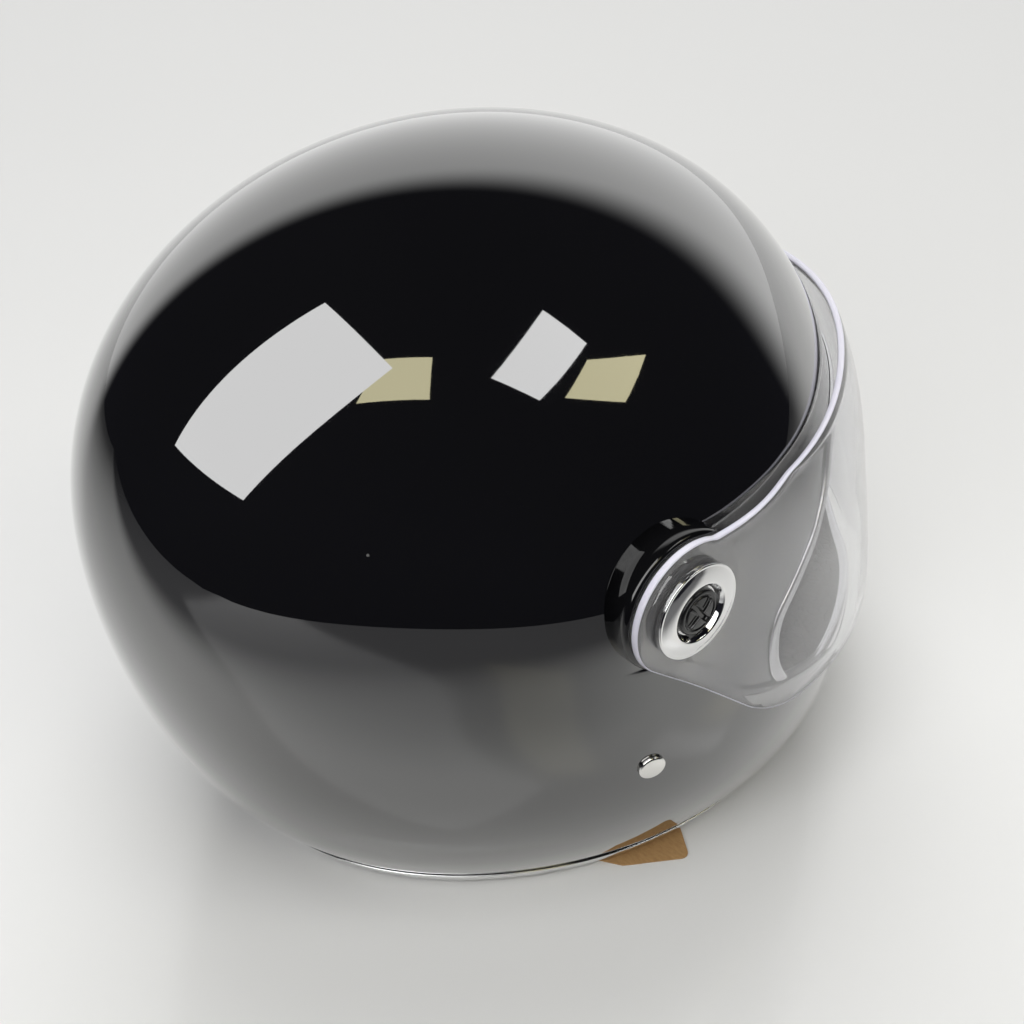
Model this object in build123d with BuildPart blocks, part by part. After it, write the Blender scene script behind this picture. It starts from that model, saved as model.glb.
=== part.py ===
"""Full-face motorcycle helmet with a clear flip-up visor, modelled as it comes apart on a bench.

Millimetres. +Z is up, the wearer looks along -Y and the wearer's right side is -X. The origin is
the middle of the footprint, on the surface that the helmet's bottom edge stands on.
"""
import os
from functools import cache
from math import asin, atan2, cos, hypot, pi, sin, sqrt

from build123d import *

# ---------------------------------------------------------------- outer form of the helmet
HALF_WIDTH, HALF_LENGTH, HALF_HEIGHT = 128.9, 159.0, 132.8
CENTRE_Y, CENTRE_Z = 7.5, 133.2
WIDTH_TAPER = (-0.426, -0.075, 0.159)   # narrowing of the sides, as powers of the height
FLANK_FULLNESS, FLANK_REACH = 0.36, 0.3  # keeps the sides upright around the visor pivots
LENGTH_TAPER = (-0.076, 0.107, -0.122)
LEAN_BACK = 29.6                         # how far the crown sits behind the middle
CROWN_FULLNESS = 0.178
FACE_WIDENING, CORNER_TRIM = -0.048, -0.065

# ---------------------------------------------------------------- shell, edges and visor seat
SHELL = 3.2                # thickness of the outer shell
EDGE_LIFT = 1.6            # web of the edge moulding under the shell's bottom edge
EDGE_HEIGHT = 7.5
EDGE_WALL = 1.2
ARCH, ARCH_FRONT, ARCH_REAR = 1.2, -92.0, 78.0   # slight arch of the bottom edge at the sides
SEAT_DEPTH = 1.5           # step around the eye port that the visor closes onto
PORT_CORNERS = [(-250, 153.5), (-69.2, 153.5), (-17.4, 114.5), (-17.4, 76), (-250, 76)]
PORT_RADII = [35, 14, 28]
PORT_LIP, PORT_WEB, PORT_WALL = 4.5, 1.5, 1.2

# ---------------------------------------------------------------- visor and its pivots
PIVOT_Y, PIVOT_Z = 30.5, 146.8
BASE_RADIUS, BASE_FACE = 25.5, 127.2
VISOR_INNER, VISOR_WALL = 128.0, 2.6
VISOR_GROW = (3.6, 6.6, 4.0)     # stand-off of the visor's inner face: sides, front, top
TAB_RADIUS, BLEND_RADIUS = 24.4, 62.0
VISOR_TOP, VISOR_CORNER, VISOR_SLOPE = 169.0, (-8.2, 83.0), 0.092
BUSH_RADIUS, BUSH_CLEARANCE = 6.0, 0.05
SCREW_RADIUS = 2.5
CAP_RADIUS, CAP_INNER, CAP_REST, CAP_LIP, CAP_CREST = 17.4, 10.9, 131.3, 133.7, 135.1
SCREW_HEAD_RADIUS = 8.4
NUT_BARREL, NUT_FLANGE, NUT_SEAT = 4.0, 9.0, 118.2

# ---------------------------------------------------------------- linings
GAP = 0.4                        # room left between neighbouring layers
HEAD_Y, HEAD_Z = 8.8, 118.0
FOAM_HOLLOW = (90.0, 116.0, 114.0)
HEAD_HOLLOW = (80.0, 105.0, 104.0)
FOAM_FOOT = 42.0
CHIN_SPLIT, CHIN_FOAM, CHIN_TOP, CHIN_FOOT = -62.0, 22.0, 68.0, 14.0
CHEEK_FRONT, CHEEK_REAR, CHEEK_FOOT, CHEEK_TOP = -58.0, 18.0, 12.0, 112.0

# ---------------------------------------------------------------- chin strap
STRAP_Y, RIVET_Z = 36.4, 76.3
RIVET_HEAD, RIVET_SHANK = 5.0, 2.4
WEB_WIDTH, WEB = 22.0, 1.8
RING_WIRE, RING_PITCH = 4.0, 6.0
RING_HALF, RING_SIDE, RING_CORNER, RING_PLAY = 14.5, 6.0, 3.0, 0.6
RING_X, RING_Z = 70.0, 30.0
STRAP_FOOT = 38.0                       # height at which the strap leaves the shell
SQUARE_X, SQUARE_Z = 98.0, 32.0          # where it hangs square
FRONT_VIEW = Plane(origin=(0, STRAP_Y, 0), x_dir=(1, 0, 0), z_dir=(0, -1, 0))

# ---------------------------------------------------------------- hang tag
TAG_WIDTH, TAG_LENGTH, TAG_THICK = 32.0, 38.0, 0.5
TAG_PLACE = (-90.1, 9.0, 0)

SIDES = {"right": -1, "left": 1}
os.makedirs("parts", exist_ok=True)


def save(part, name):
    """Label one finished piece and write it to its own file."""
    part.label = name
    export_step(part, f"parts/{name}.step")


def level_of(height, grow_up):
    """Sine of the elevation at which the form reaches a height."""
    level = (height - CENTRE_Z) / (HALF_HEIGHT + grow_up)
    rise = 1 + CROWN_FULLNESS
    return (rise - sqrt(rise * rise - 4 * CROWN_FULLNESS * level)) / (2 * CROWN_FULLNESS)


def width_factor(up):
    a, b, c = WIDTH_TAPER
    flank = FLANK_FULLNESS * up / (1 + (up / FLANK_REACH) ** 2)
    return 1 + a * up + b * up**2 + c * up**3 + flank


def length_factor(up):
    a, b, c = LENGTH_TAPER
    return 1 + a * up + b * up**2 + c * up**3


def form_point(up, turn, grow):
    """Point on the form: up is the sine of the elevation, turn the angle around the head."""
    out = sqrt(max(0.0, 1 - up * up))
    dx, dy = out * cos(turn), out * sin(turn)
    square = 1 + CORNER_TRIM * 4 * (cos(turn) * sin(turn)) ** 2 * out**4
    x = (HALF_WIDTH + grow[0]) * dx * width_factor(up) * (1 + FACE_WIDENING * dy) * square
    y = (HALF_LENGTH + grow[1]) * dy * length_factor(up) * square + LEAN_BACK * up + CENTRE_Y
    z = CENTRE_Z + (HALF_HEIGHT + grow[2]) * up * (1 + CROWN_FULLNESS * (1 - up))
    return x, y, z


def ring_at(up, grow, count=22):
    return [form_point(up, 2 * pi * k / count, grow) for k in range(count)]


@cache
def form_solid(grow):
    """Solid inside the helmet's form, moved out by grow, from below the bottom edge to the crown."""
    slices = []
    for tilt in (-53, -45, -36, -27, -18, -9, 0, 9, 18, 28, 40, 53, 66, 78):
        points = ring_at(sin(tilt * pi / 180), grow)
        with BuildSketch(Plane.XY.offset(points[0][2]), mode=Mode.PRIVATE) as slice_:
            with BuildLine():
                Spline(*[(x, y) for x, y, z in points], periodic=True)
            make_face()
        slices.append(slice_.sketch)
    with BuildPart(mode=Mode.PRIVATE) as body:
        loft(slices + [Vertex(*form_point(1.0, 0, grow))])
    return body.part


def form(grow, mode=Mode.ADD):
    """Put the helmet's form, moved out by grow, into the piece being made."""
    add(form_solid((grow, grow, grow)), mode=mode)


def side_prism(outline, reach=170.0, mode=Mode.INTERSECT):
    """Sketch drawn in the side view, run through the helmet from one side to the other."""
    extrude(outline, amount=reach, both=True, mode=mode)


def side_sketch(points, radii=None, grow=0.0, pivot_disc_radius=0.0):
    """Closed side-view outline (y, z), with rounded corners, an even margin or a pivot disc."""
    with BuildSketch(Plane.YZ, mode=Mode.PRIVATE) as outline:
        with BuildLine():
            if radii:
                path = FilletPolyline(*points, radius=radii)
                Line(path @ 1, path @ 0)
            else:
                Polyline(*points, close=True)
        make_face()
        if pivot_disc_radius:
            with Locations((PIVOT_Y, PIVOT_Z)):
                Circle(pivot_disc_radius)
        if grow:
            offset(amount=grow)
    return outline.sketch


def port(grow=0.0):
    return side_sketch(PORT_CORNERS, PORT_RADII, grow)


def edge_band(low, high):
    """Side view of a level band above the bottom edge, which arches a little at the sides."""
    crest = (ARCH_FRONT + ARCH_REAR) / 2
    with BuildSketch(Plane.YZ, mode=Mode.PRIVATE) as band:
        with BuildLine():
            Line((-260, low), (ARCH_FRONT, low))
            ThreePointArc((ARCH_FRONT, low), (crest, low + ARCH), (ARCH_REAR, low))
            Polyline((ARCH_REAR, low), (260, low), (260, high), (-260, high), (-260, low))
        make_face()
    return band.sketch


def seat_outline():
    """Step around the eye port: it runs from the brow and the chin back to the pivot bases."""
    front, lap = -250, PIVOT_Y - 4
    points = [(front, 171), (-31, 168), (lap, 163), (lap, 122), (2, 95.5), (-20, 88.5),
              (-70, 72.5), (front, 69)]
    return side_sketch(points, pivot_disc_radius=BASE_RADIUS + 0.3)


def pivot_plane(side, x):
    """Plane across the pivot axis at distance x from the middle, facing outwards."""
    return Plane(origin=(side * x, PIVOT_Y, PIVOT_Z), x_dir=(0, 1, 0), z_dir=(side, 0, 0))


def pivot_disc(side, radius, low, high, mode=Mode.ADD, plug=0.0):
    """Round piece on the pivot axis, from low to high out of the middle, with an open middle."""
    with BuildSketch(pivot_plane(side, low), mode=Mode.PRIVATE) as disc:
        Circle(radius)
        if plug:
            Circle(plug, mode=Mode.SUBTRACT)
    extrude(disc.sketch, amount=high - low, mode=mode)


@cache
def hollow_solid(size, foot):
    """Head space: half an ellipsoid with its outline carried down to foot."""
    wide, long_, high = size
    with BuildPart(mode=Mode.PRIVATE) as body:
        with BuildSketch(Plane.XY.offset(foot)):
            with Locations((0, HEAD_Y)):
                Ellipse(wide, long_)
        extrude(amount=HEAD_Z - foot)
        slices = []
        for tilt in (0, 15, 30, 45, 60, 72, 82):
            shrink = cos(tilt * pi / 180)
            level = HEAD_Z + high * sin(tilt * pi / 180)
            with BuildSketch(Plane.XY.offset(level), mode=Mode.PRIVATE) as slice_:
                with Locations((0, HEAD_Y)):
                    Ellipse(wide * shrink, long_ * shrink)
            slices.append(slice_.sketch)
        loft(slices + [Vertex(0, HEAD_Y, HEAD_Z + high)])
    return body.part


def hollow(size, grow=0.0, foot=-5.0, mode=Mode.ADD):
    """Put the head space, moved out by grow, into the piece being made."""
    add(hollow_solid(tuple(length + grow for length in size), foot), mode=mode)


def flank_point(y, z, grow):
    """Point on the wearer's left flank of the form, found by halving the turn."""
    up = level_of(z, grow)
    low, high = 0.0, pi / 2
    for _ in range(40):
        middle = (low + high) / 2
        if form_point(up, middle, (grow,) * 3)[1] < y:
            low = middle
        else:
            high = middle
    return Vector(*form_point(up, low, (grow,) * 3))


def rivet_plane(side):
    """Plane on the shell's outer face at a strap rivet, facing straight out of the shell."""
    foot = flank_point(STRAP_Y, RIVET_Z, 0.0)
    along = flank_point(STRAP_Y + 1, RIVET_Z, 0.0) - foot
    upward = flank_point(STRAP_Y, RIVET_Z + 1, 0.0) - foot
    out = along.cross(upward).normalized()
    return Plane(origin=(side * foot.X, foot.Y, foot.Z), z_dir=(side * out.X, out.Y, out.Z))


def turned(plane, profile):
    """Solid of revolution about a plane's normal from (height, radius) points."""
    with BuildSketch(Plane(plane.origin, x_dir=plane.z_dir, z_dir=-plane.x_dir.cross(plane.z_dir)),
                     mode=Mode.PRIVATE) as half:
        with BuildLine():
            Polyline(*profile, close=True)
        make_face()
    revolve(half.sketch, axis=Axis(plane.origin, plane.z_dir))


# ================================================================= outer shell
with BuildPart() as outer_shell:
    form(0.0)
    form(-SHELL, mode=Mode.SUBTRACT)
    side_prism(edge_band(EDGE_LIFT, 300))
    side_prism(port(), mode=Mode.SUBTRACT)
    with BuildPart(mode=Mode.PRIVATE) as seat:
        form(4.0)
        form(-SEAT_DEPTH, mode=Mode.SUBTRACT)
        side_prism(seat_outline())
    add(seat.part, mode=Mode.SUBTRACT)
    for side in SIDES.values():
        pivot_disc(side, NUT_BARREL + 0.2, 100, 140, mode=Mode.SUBTRACT)
        with BuildSketch(rivet_plane(side), mode=Mode.PRIVATE) as rivet_hole:
            Circle(RIVET_SHANK + 0.1)
        extrude(rivet_hole.sketch, amount=8, both=True, mode=Mode.SUBTRACT)
save(outer_shell.part, "outer_shell")

# ================================================================= edge mouldings
with BuildPart() as bottom_edge_trim:
    form(EDGE_WALL)
    form(-SHELL - EDGE_WALL, mode=Mode.SUBTRACT)
    side_prism(edge_band(0, EDGE_HEIGHT))
    add(outer_shell.part, mode=Mode.SUBTRACT)
save(bottom_edge_trim.part, "bottom_edge_trim")

with BuildPart() as eye_port_trim:
    form(PORT_WALL - SEAT_DEPTH)
    form(-SHELL - PORT_WALL, mode=Mode.SUBTRACT)
    side_prism(port(PORT_LIP))
    side_prism(port(-PORT_WEB), mode=Mode.SUBTRACT)
    add(outer_shell.part, mode=Mode.SUBTRACT)
save(eye_port_trim.part, "eye_port_trim")

# ================================================================= visor
def smooth(value):
    value = min(1.0, max(0.0, value))
    return value * value * (3 - 2 * value)


def visor_point(turn, height):
    """Inner face of the visor: flat around each pivot, then easing onto the helmet's form."""
    x, y, z = form_point(level_of(height, VISOR_GROW[2]), turn, VISOR_GROW)
    away = hypot(y - PIVOT_Y, z - PIVOT_Z)
    ease = smooth((away - TAB_RADIUS) / (BLEND_RADIUS - TAB_RADIUS)) if abs(x) > 60 else 1.0
    across = VISOR_INNER * (1 - ease) + abs(x) * ease
    return Vector(across if x > 0 else -across, y, z)


def visor_outline():
    """Side view: a round tab at the pivot, a level top edge and a lower edge that falls away."""
    corner_y, corner_z = VISOR_CORNER
    reach = hypot(PIVOT_Y - corner_y, PIVOT_Z - corner_z)
    heading = atan2(PIVOT_Z - corner_z, PIVOT_Y - corner_y) - asin(TAB_RADIUS / reach)
    run = sqrt(reach**2 - TAB_RADIUS**2)
    tangent = (corner_y + run * cos(heading), corner_z + run * sin(heading))
    front = -250
    chin = (front, corner_z + VISOR_SLOPE * (front - corner_y))
    with BuildSketch(Plane.YZ, mode=Mode.PRIVATE) as outline:
        with BuildLine():
            path = FilletPolyline((front, VISOR_TOP), (PIVOT_Y, VISOR_TOP), tangent, VISOR_CORNER,
                                  chin, radius=[6, 6, 55])
            Line(path @ 1, path @ 0)
        make_face()
        with Locations((PIVOT_Y, PIVOT_Z)):
            Circle(TAB_RADIUS)
    return outline.sketch


VISOR_TURNS = [pi * (150 + 6 * k) / 180 for k in range(41)]
VISOR_LEVELS = [54 + 7 * k for k in range(19)]
with BuildPart() as visor:
    sheet = Face.make_surface_from_array_of_points(
        [[visor_point(turn, level) for level in VISOR_LEVELS] for turn in VISOR_TURNS])
    if sheet.normal_at(sheet.center()).Y > 0:
        sheet = -sheet
    thicken(sheet, amount=VISOR_WALL)
    side_prism(visor_outline(), reach=200)
    for side in SIDES.values():
        pivot_disc(side, BUSH_RADIUS + BUSH_CLEARANCE, 100, 160, mode=Mode.SUBTRACT)
save(visor.part, "visor")

# ================================================================= visor pivots
for name, side in SIDES.items():
    with BuildPart() as pivot_base:
        pivot_disc(side, BASE_RADIUS, 105, BASE_FACE)
        fillet(pivot_base.faces().sort_by(Axis.X)[0 if side < 0 else -1].edges(), 1.8)
        form(-SEAT_DEPTH, mode=Mode.SUBTRACT)
        add(outer_shell.part, mode=Mode.SUBTRACT)
        pivot_disc(side, NUT_BARREL + 0.2, 100, 140, mode=Mode.SUBTRACT)
    save(pivot_base.part, f"pivot_base_{name}")

    with BuildPart() as inner_washer:
        pivot_disc(side, 12, BASE_FACE, VISOR_INNER - 0.2, plug=BUSH_RADIUS + 0.2)
    save(inner_washer.part, f"inner_washer_{name}")

    with BuildPart() as outer_washer:
        pivot_disc(side, 13, VISOR_INNER + VISOR_WALL + 0.4, CAP_REST, plug=BUSH_RADIUS + 0.2)
    save(outer_washer.part, f"outer_washer_{name}")

    with BuildPart() as pivot_bush:
        pivot_disc(side, BUSH_RADIUS, BASE_FACE, CAP_REST, plug=SCREW_RADIUS + 0.1)
    save(pivot_bush.part, f"pivot_bush_{name}")

    with BuildPart() as pivot_nut:
        pivot_disc(side, NUT_FLANGE, NUT_SEAT - 1.5, NUT_SEAT, plug=SCREW_RADIUS + 0.05)
        pivot_disc(side, NUT_BARREL, NUT_SEAT, BASE_FACE - 0.3, plug=SCREW_RADIUS + 0.05)
    save(pivot_nut.part, f"pivot_nut_{name}")

    cup_floor = CAP_REST + 0.9
    with BuildPart() as pivot_cap:
        turned(pivot_plane(side, 0), [
            (CAP_REST, SCREW_RADIUS + 0.2), (CAP_REST, 16.6), (CAP_REST + 0.7, CAP_RADIUS),
            (CAP_LIP, CAP_RADIUS), (CAP_LIP + 0.4, CAP_RADIUS - 0.5),
            (CAP_LIP + 0.3, CAP_RADIUS - 1.0), (CAP_CREST, CAP_INNER + 0.7),
            (CAP_CREST, CAP_INNER), (CAP_CREST - 0.4, CAP_INNER - 0.6), (cup_floor, 9.2),
            (cup_floor, SCREW_RADIUS + 0.2)])
    save(pivot_cap.part, f"pivot_cap_{name}")

    with BuildPart() as pivot_screw:
        turned(pivot_plane(side, 0), [
            (112, 0), (112, SCREW_RADIUS), (cup_floor, SCREW_RADIUS),
            (cup_floor, SCREW_HEAD_RADIUS), (cup_floor + 1.6, SCREW_HEAD_RADIUS),
            (cup_floor + 2.4, SCREW_HEAD_RADIUS - 0.9), (cup_floor + 2.8, 4.0),
            (cup_floor + 2.9, 0)])
        with BuildSketch(pivot_plane(side, cup_floor + 1.2), mode=Mode.PRIVATE) as slots:
            SlotOverall(11.5, 1.7)
            SlotOverall(11.5, 1.7, rotation=90)
        extrude(slots.sketch, amount=4, mode=Mode.SUBTRACT)
    save(pivot_screw.part, f"pivot_screw_{name}")

# ================================================================= impact foam
def slab(low_y, high_y, low_z, high_z, rounding=0.0):
    """Side-view rectangle."""
    with BuildSketch(Plane.YZ, mode=Mode.PRIVATE) as outline:
        with Locations(((low_y + high_y) / 2, (low_z + high_z) / 2)):
            if rounding:
                RectangleRounded(high_y - low_y, high_z - low_z, rounding)
            else:
                Rectangle(high_y - low_y, high_z - low_z)
    return outline.sketch


SNAP_SPOTS = [(-34, 34), (4, 34), (4, 88)]
SNAP_RADIUS = 6.0


def snap_rest(y):
    """Widest half-width of the foam's hollow over one snap."""
    wide, long_, _ = FOAM_HOLLOW
    return max(wide * sqrt(1 - ((edge - HEAD_Y) / long_) ** 2) for edge in (y - SNAP_RADIUS, y + SNAP_RADIUS))


def flank_disc(side, y, z, radius, low, high, mode=Mode.ADD):
    with BuildSketch(Plane.YZ.offset(side * low), mode=Mode.PRIVATE) as spot:
        with Locations((y, z)):
            Circle(radius)
    extrude(spot.sketch, amount=side * (high - low), mode=mode)


foam_skin = -SHELL - GAP
channel = WEB + 4.5 + 2 * GAP
with BuildPart() as strap_channels:
    form(foam_skin)
    form(foam_skin - channel, mode=Mode.SUBTRACT)
    side_prism(slab(STRAP_Y - WEB_WIDTH / 2 - 1, STRAP_Y + WEB_WIDTH / 2 + 1, 20, RIVET_Z + 14))

with BuildPart() as crown_foam:
    form(foam_skin)
    side_prism(slab(-250, 250, FOAM_FOOT, 300))
    hollow(FOAM_HOLLOW, mode=Mode.SUBTRACT)
    side_prism(port(5.5), mode=Mode.SUBTRACT)
    side_prism(slab(-250, CHIN_SPLIT, -20, 90), mode=Mode.SUBTRACT)
    add(strap_channels.part, mode=Mode.SUBTRACT)
    for side in SIDES.values():
        pivot_disc(side, NUT_FLANGE + 1, 109, 130, mode=Mode.SUBTRACT)
        for y, z in SNAP_SPOTS:
            rest = snap_rest(y)
            flank_disc(side, y, z, SNAP_RADIUS + 1, rest - 6, rest + 5, mode=Mode.SUBTRACT)
save(crown_foam.part, "crown_foam")

with BuildPart() as chin_foam:
    form(foam_skin)
    form(foam_skin - CHIN_FOAM, mode=Mode.SUBTRACT)
    side_prism(slab(-250, CHIN_SPLIT - GAP, CHIN_FOOT, CHIN_TOP))
save(chin_foam.part, "chin_foam")

# ================================================================= fabric linings
with BuildPart() as chin_lining:
    form(foam_skin - CHIN_FOAM - GAP)
    form(foam_skin - CHIN_FOAM - 6, mode=Mode.SUBTRACT)
    side_prism(slab(-250, CHIN_SPLIT - 8, CHIN_FOOT + 4, CHIN_TOP - 4))
save(chin_lining.part, "chin_lining")

with BuildPart() as crown_lining:
    hollow(FOAM_HOLLOW, grow=-GAP, foot=FOAM_FOOT + 4)
    hollow(HEAD_HOLLOW, mode=Mode.SUBTRACT)
    side_prism(side_sketch([(-250, 167), (-62, 167), (-8, 127), (-8, CHEEK_TOP + 2),
                            (CHEEK_REAR + 2, CHEEK_TOP + 2), (CHEEK_REAR + 2, 0), (250, 0),
                            (250, 300), (-250, 300)]))
save(crown_lining.part, "crown_lining")

with BuildPart() as neck_roll:
    form(foam_skin)
    form(foam_skin - 20, mode=Mode.SUBTRACT)
    side_prism(slab(STRAP_Y + WEB_WIDTH / 2 + 9, 250, 9, FOAM_FOOT - 1))
save(neck_roll.part, "neck_roll")

for name, side in SIDES.items():
    with BuildPart() as cheek_pad:
        with BuildSketch(Plane.YZ, mode=Mode.PRIVATE) as cheek:
            with BuildLine():
                FilletPolyline((CHEEK_FRONT, CHEEK_FOOT), (CHEEK_REAR, CHEEK_FOOT),
                               (CHEEK_REAR, CHEEK_TOP), (-6, CHEEK_TOP), (-10, 64),
                               (CHEEK_FRONT, 64), close=True, radius=[12, 10, 8, 6, 10, 12])
            make_face()
        extrude(cheek.sketch, amount=side * 150)
        hollow(FOAM_HOLLOW, grow=-GAP, mode=Mode.INTERSECT)
        hollow((60.0, 150.0, 104.0), foot=-20, mode=Mode.SUBTRACT)
    save(cheek_pad.part, f"cheek_pad_{name}")

    with BuildPart() as cheek_snaps:
        for y, z in SNAP_SPOTS:
            rest = snap_rest(y)
            flank_disc(side, y, z, SNAP_RADIUS, rest + 0.2, rest + 2.4)
            flank_disc(side, y, z, 2.5, rest + 2.4, rest + 4.4)
    save(cheek_snaps.part, f"cheek_snaps_{name}")

# ================================================================= strap rivets and anchors
for name, side in SIDES.items():
    seat_plane = rivet_plane(side)
    with BuildPart() as strap_rivet:
        turned(seat_plane, [
            (-9.2, 0), (-9.2, 4.6), (-8.2, 4.6), (-8.2, RIVET_SHANK), (0.05, RIVET_SHANK),
            (0.05, RIVET_HEAD), (0.6, RIVET_HEAD), (1.3, 4.2), (1.8, 2.4), (1.95, 0)])
    save(strap_rivet.part, f"strap_rivet_{name}")

    with BuildPart() as anchor_plate:
        form(foam_skin - WEB - 0.1)
        form(foam_skin - WEB - 1.6, mode=Mode.SUBTRACT)
        extrude(slab(STRAP_Y - 9, STRAP_Y + 9, RIVET_Z - 9, RIVET_Z + 9, rounding=3),
                amount=side * 150, mode=Mode.INTERSECT)
        with BuildSketch(seat_plane, mode=Mode.PRIVATE) as shank:
            Circle(RIVET_SHANK + 0.1)
        extrude(shank.sketch, amount=14, both=True, mode=Mode.SUBTRACT)
    save(anchor_plate.part, f"anchor_plate_{name}")

# ================================================================= chin strap
strap_x = flank_point(STRAP_Y, STRAP_FOOT, foam_skin - WEB / 2).X


with BuildPart() as strap_top:
    form(foam_skin - 0.05)
    form(foam_skin - WEB, mode=Mode.SUBTRACT)
    extrude(slab(STRAP_Y - WEB_WIDTH / 2, STRAP_Y + WEB_WIDTH / 2, STRAP_FOOT, RIVET_Z + 10),
            amount=-150, mode=Mode.INTERSECT)
    with BuildSketch(rivet_plane(-1), mode=Mode.PRIVATE) as shank:
        Circle(RIVET_SHANK + 0.1)
    extrude(shank.sketch, amount=14, both=True, mode=Mode.SUBTRACT)
    along = flank_point(STRAP_Y + 5, STRAP_FOOT, foam_skin) - flank_point(STRAP_Y - 5, STRAP_FOOT, foam_skin)
    with BuildSketch(Plane(origin=(1.0 - strap_x, STRAP_Y, STRAP_FOOT + 0.5),
                           x_dir=(-along.X, along.Y, 0)), mode=Mode.PRIVATE) as high:
        Rectangle(WEB_WIDTH, WEB)
    with BuildSketch(Plane(origin=(-SQUARE_X, STRAP_Y, SQUARE_Z), x_dir=(0, 1, 0)),
                     mode=Mode.PRIVATE) as low:
        Rectangle(WEB_WIDTH, WEB)
    loft([low.sketch, high.sketch])


def ribbon(points, radii):
    """Webbing along straight runs with rounded turns, drawn in the front view."""
    with BuildSketch(FRONT_VIEW, mode=Mode.PRIVATE) as strip:
        with BuildLine():
            FilletPolyline(*points, radius=radii)
        trace(line_width=WEB)
    extrude(strip.sketch, amount=WEB_WIDTH / 2, both=True)


loop_height = RING_WIRE + RING_PLAY + 2 * WEB
loop_x = -RING_X - (RING_PITCH + loop_height) / 2 + WEB / 2
with BuildPart() as strap_right:
    add(strap_top.part)
    ribbon([(-SQUARE_X, SQUARE_Z), (-SQUARE_X, 22), (loop_x, 20.5), (loop_x, RING_Z)], [8, 7])
    with BuildSketch(FRONT_VIEW, mode=Mode.PRIVATE) as loop:
        with Locations((-RING_X, RING_Z)):
            SlotOverall(RING_PITCH + loop_height, loop_height)
            SlotOverall(RING_PITCH + RING_WIRE + RING_PLAY, RING_WIRE + RING_PLAY, mode=Mode.SUBTRACT)
    extrude(loop.sketch, amount=WEB_WIDTH / 2, both=True)
save(strap_right.part, "strap_right")

with BuildPart() as strap_left:
    add(strap_top.part.mirror(Plane.YZ))
    ribbon([(SQUARE_X, SQUARE_Z), (SQUARE_X, 22), (71.6, 21), (71.6, 6.4), (62, 6.4), (62, 21), (66, 33)],
           [8, 5, 4.7, 4.7, 8])
save(strap_left.part, "strap_left")

with BuildPart() as strap_snap:
    for low, high in ((63.5, 66.4), (66.8, 70.4)):
        flank_disc(1, STRAP_Y, 15.8, 5.5, low, high)
save(strap_snap.part, "strap_snap")

for name, offset_x in (("outer", -RING_PITCH / 2), ("inner", RING_PITCH / 2)):
    hang = Plane(origin=(-RING_X + offset_x, STRAP_Y, RING_Z), x_dir=(0, 1, 0), z_dir=(1, 0, 0))
    with BuildPart() as d_ring:
        with BuildLine(hang) as wire:
            bar = Line((-RING_HALF + RING_CORNER, 0), (RING_HALF - RING_CORNER, 0))
            CenterArc((RING_HALF - RING_CORNER, -RING_CORNER), RING_CORNER, 90, -90)
            Line((RING_HALF, -RING_CORNER), (RING_HALF, -RING_SIDE))
            CenterArc((0, -RING_SIDE), RING_HALF, 0, -180)
            Line((-RING_HALF, -RING_SIDE), (-RING_HALF, -RING_CORNER))
            CenterArc((-RING_HALF + RING_CORNER, -RING_CORNER), RING_CORNER, 180, -90)
        with BuildSketch(Plane(origin=bar @ 0.5, z_dir=bar % 0.5)):
            Circle(RING_WIRE / 2)
        sweep(path=wire.wire())
    save(d_ring.part, f"d_ring_{name}")

# ================================================================= hang tag
with BuildPart() as hang_tag:
    with BuildSketch(Plane(origin=TAG_PLACE, x_dir=(0.54, 0.842, 0), z_dir=(0, 0, 1))) as card:
        half_long, half_wide = TAG_LENGTH / 2, TAG_WIDTH / 2
        Polygon((-half_long, -half_wide), (half_long - 12, -half_wide), (half_long, -half_wide + 5.5),
                (half_long, half_wide - 5.5), (half_long - 12, half_wide), (-half_long, half_wide))
        fillet(card.vertices().sort_by(Axis.X)[:2], 3)
        with Locations((half_long - 5, 0)):
            Circle(2.5, mode=Mode.SUBTRACT)
    extrude(amount=TAG_THICK)
save(hang_tag.part, "hang_tag")
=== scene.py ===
from math import asin, atan2, cos, hypot, pi, radians, sin, sqrt

import bmesh
import bpy
import numpy as np
from mathutils import Matrix, Vector
from mathutils.geometry import delaunay_2d_cdt


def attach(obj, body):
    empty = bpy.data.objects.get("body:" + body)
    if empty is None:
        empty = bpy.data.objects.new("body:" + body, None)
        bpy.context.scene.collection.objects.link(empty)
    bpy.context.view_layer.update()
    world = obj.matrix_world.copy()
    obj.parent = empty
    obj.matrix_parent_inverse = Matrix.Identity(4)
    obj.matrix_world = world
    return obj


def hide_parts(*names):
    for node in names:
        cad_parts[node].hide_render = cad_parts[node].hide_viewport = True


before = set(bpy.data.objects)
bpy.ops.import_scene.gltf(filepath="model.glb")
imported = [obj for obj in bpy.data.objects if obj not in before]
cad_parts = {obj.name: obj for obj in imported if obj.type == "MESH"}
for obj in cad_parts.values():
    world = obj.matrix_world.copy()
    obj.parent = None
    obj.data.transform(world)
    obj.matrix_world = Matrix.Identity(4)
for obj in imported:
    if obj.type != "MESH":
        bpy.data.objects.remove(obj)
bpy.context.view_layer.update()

MM = 0.001

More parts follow.
